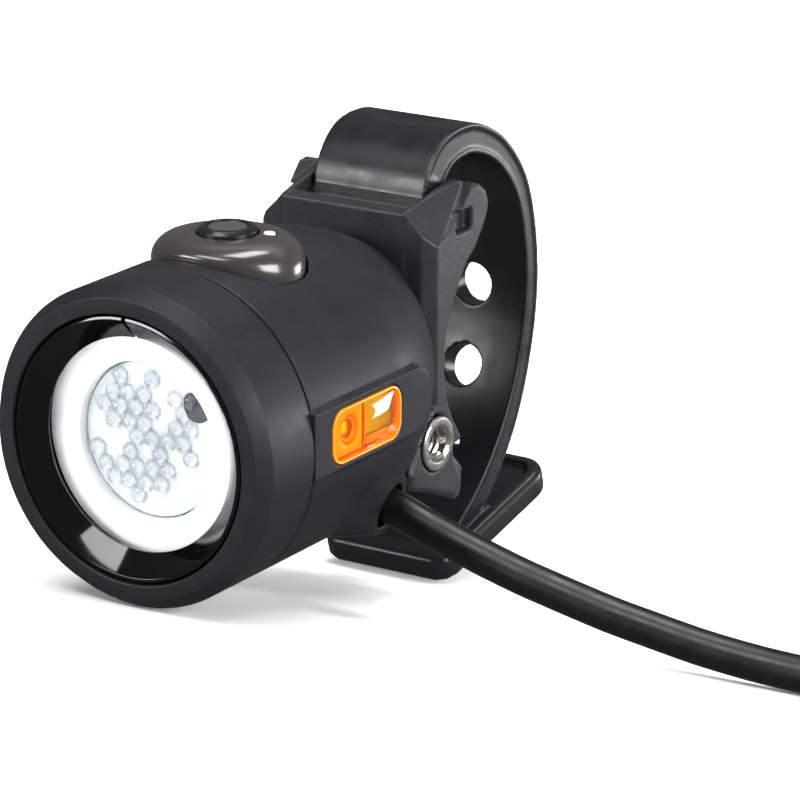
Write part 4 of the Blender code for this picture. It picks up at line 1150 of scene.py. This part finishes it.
    def build(self) -> None:
        """Makes it all."""
        self.bracket()
        self.saddle()
        for side, word in ((-1, "left"), (1, "right")):
            self.insert(side, word)
        for word, height in zip(("upper", "lower"), SCREW_Z):
            self.screw(word, height)
        profile = fillet([(0, -11.4), (1.5, -11.4), (1.5, 11.4), (0, 11.4)], 0.25)
        pin = lathe("hinge_pin", profile, 64, (0, PIN_Y, PIN_Z), (1, 0, 0))
        place(pin, STEEL, ["strap_pin"])


# ---------------------------------------------------------------- strap


STRAP_LINE = [
    (60.4, 20.0),
    (61.4, 24.0),
    (64.4, 27.1),
    (68.7, 28.1),
    (73.4, 27.5),
    (79.6, 24.2),
    (85.0, 17.8),
    (87.6, 8.6),
    (87.6, -0.5),
    (85.2, -10.0),
    (81.3, -17.8),
    (75.3, -25.0),
    (69.2, -29.9),
    (64.2, -33.4),
]
STRAP_THICKNESS = [4.8, 4.9, 4.9, 4.5, 4.2, 3.8, 3.5, 3.3, 3.3, 3.4, 3.6, 3.9, 4.3, 3.0]


@dataclass
class Strap:
    """The rubber strap: its eye on the pin, the roll over the ears, three holes and the pull tab."""

    def ribbon(self, grow: float = 0.0, first: int = 0, last: int | None = None) -> list[tuple[float, float]]:
        """The outline round the centre line, grown or shrunk, over part of its length."""
        per_span = 8
        line = catmull([(*p, 0) for p in STRAP_LINE], per_span)
        steps = len(line) - 1
        outer, inner = [], []
        for i in range(first * per_span, (steps if last is None else last * per_span) + 1):
            ahead = (line[min(i + 1, steps)] - line[max(i - 1, 0)]).normalized()
            normal = Vector((-ahead.y, ahead.x, 0))
            spot = i / steps * (len(STRAP_THICKNESS) - 1)
            at = min(int(spot), len(STRAP_THICKNESS) - 2)
            change = STRAP_THICKNESS[at + 1] - STRAP_THICKNESS[at]
            half = (STRAP_THICKNESS[at] + change * (spot - at) + grow) / 2
            outer.append(tuple((line[i] + normal * half).xy))
            inner.append(tuple((line[i] - normal * half).xy))
        return outer + inner[::-1]

    def tab(self) -> bpy.types.Object:
        """The pull tab with its raised rim."""
        half = [(8.4, 0.0), (10.2, 0.8), (10.9, 2.8), (12.2, 23.4), *arc(8.0, 24.3, 4.2, 0, 90, 12)]
        outline = half + [(-x, s) for x, s in reversed(half)]
        tab = prism("tab_plate", outline, -TAB_THICK / 2, TAB_THICK / 2, "XY")
        bevel(tab, 0.9, 4)
        half = [(8.2, 6.0), (10.2, 23.0), *arc(7.2, 23.9, 3.0, 0, 90, 10)]
        dish = fillet(half + [(-x, s) for x, s in reversed(half)], 1.2)
        tool = prism("tab_dish", dish, 1.1, 4.1, "XY")
        carve(tab, [tool])
        tab.data.transform(Matrix.Translation(TAB_TOE) @ Matrix.Rotation(TAB_TILT, 4, "X"))
        return tab

    def build(self) -> None:
        """Makes it."""
        half = STRAP_HALF_X
        strap = prism("rubber_strap", self.ribbon(), -half, half)
        grooves = []
        for side in (-1, 1):
            low, high = sorted((side * (half - 0.18), side * 12))
            grooves.append(prism(f"side_groove_{side}", self.ribbon(-1.3, 1), low, high))
        carve(strap, grooves)
        dimple = [
            (
                7.2 * math.cos(a) * math.cos(b),
                69.3 + 4.4 * math.sin(a) * math.cos(b),
                31.0 + 1.35 * math.sin(b),
            )
            for a in (math.tau * i / 32 for i in range(32))
            for b in (math.pi * (j / 16 - 0.5) for j in range(17))
        ]
        carve(strap, [hull("roll_recess", dimple)])
        eye = rod("strap_eye", (-half + 0.15, PIN_Y, PIN_Z), (half - 0.15, PIN_Y, PIN_Z), 3.3, 96)
        carve(strap, [eye, self.tab()], "UNION")
        cuts = [rod("eye_bore", (-12, PIN_Y, PIN_Z), (12, PIN_Y, PIN_Z), 1.8)]
        holes = [((80.0, 2.0), (94.0, 1.6)), ((78.0, -8.1), (91.0, -12.2)), ((75.2, -18.7), (83.6, -25.7))]
        for i, ((y0, z0), (y1, z1)) in enumerate(holes):
            cuts.append(rod(f"strap_hole_{i}", (0, y0, z0), (0, y1, z1), 3.1, 96))
        carve(strap, cuts)
        place(moulded(strap, 0.24, 3, 0.5), STRAP_RUBBER, ["strap"], "strap", sharp=60)


# ---------------------------------------------------------------- carried-over pieces


CARRIED = {
    "main_led": PHOSPHOR,
    "led_board": LED_BOARD,
    "heat_sink": ALUMINIUM,
    "driver_board": BOARD,
    "body_seal": SEAL_RUBBER,
    "tact_switch": GLOSS,
    "switch_board": BOARD,
    "cable_gland": SEAL_RUBBER,
}


def dress_carried_pieces() -> None:
    """Gives the plain inner pieces their materials."""
    for name, finish in CARRIED.items():
        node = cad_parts[name]
        node.data.materials.clear()
        node.data.materials.append(finish.build())


def main() -> None:
    """Builds the scene."""
    Studio().build()
    Lead().build()
    LensEnd().build()
    Barrel().build()
    Switch().build()
    Cradle().build()
    Strap().build()
    dress_carried_pieces()


if __name__ == "__main__":
    main()
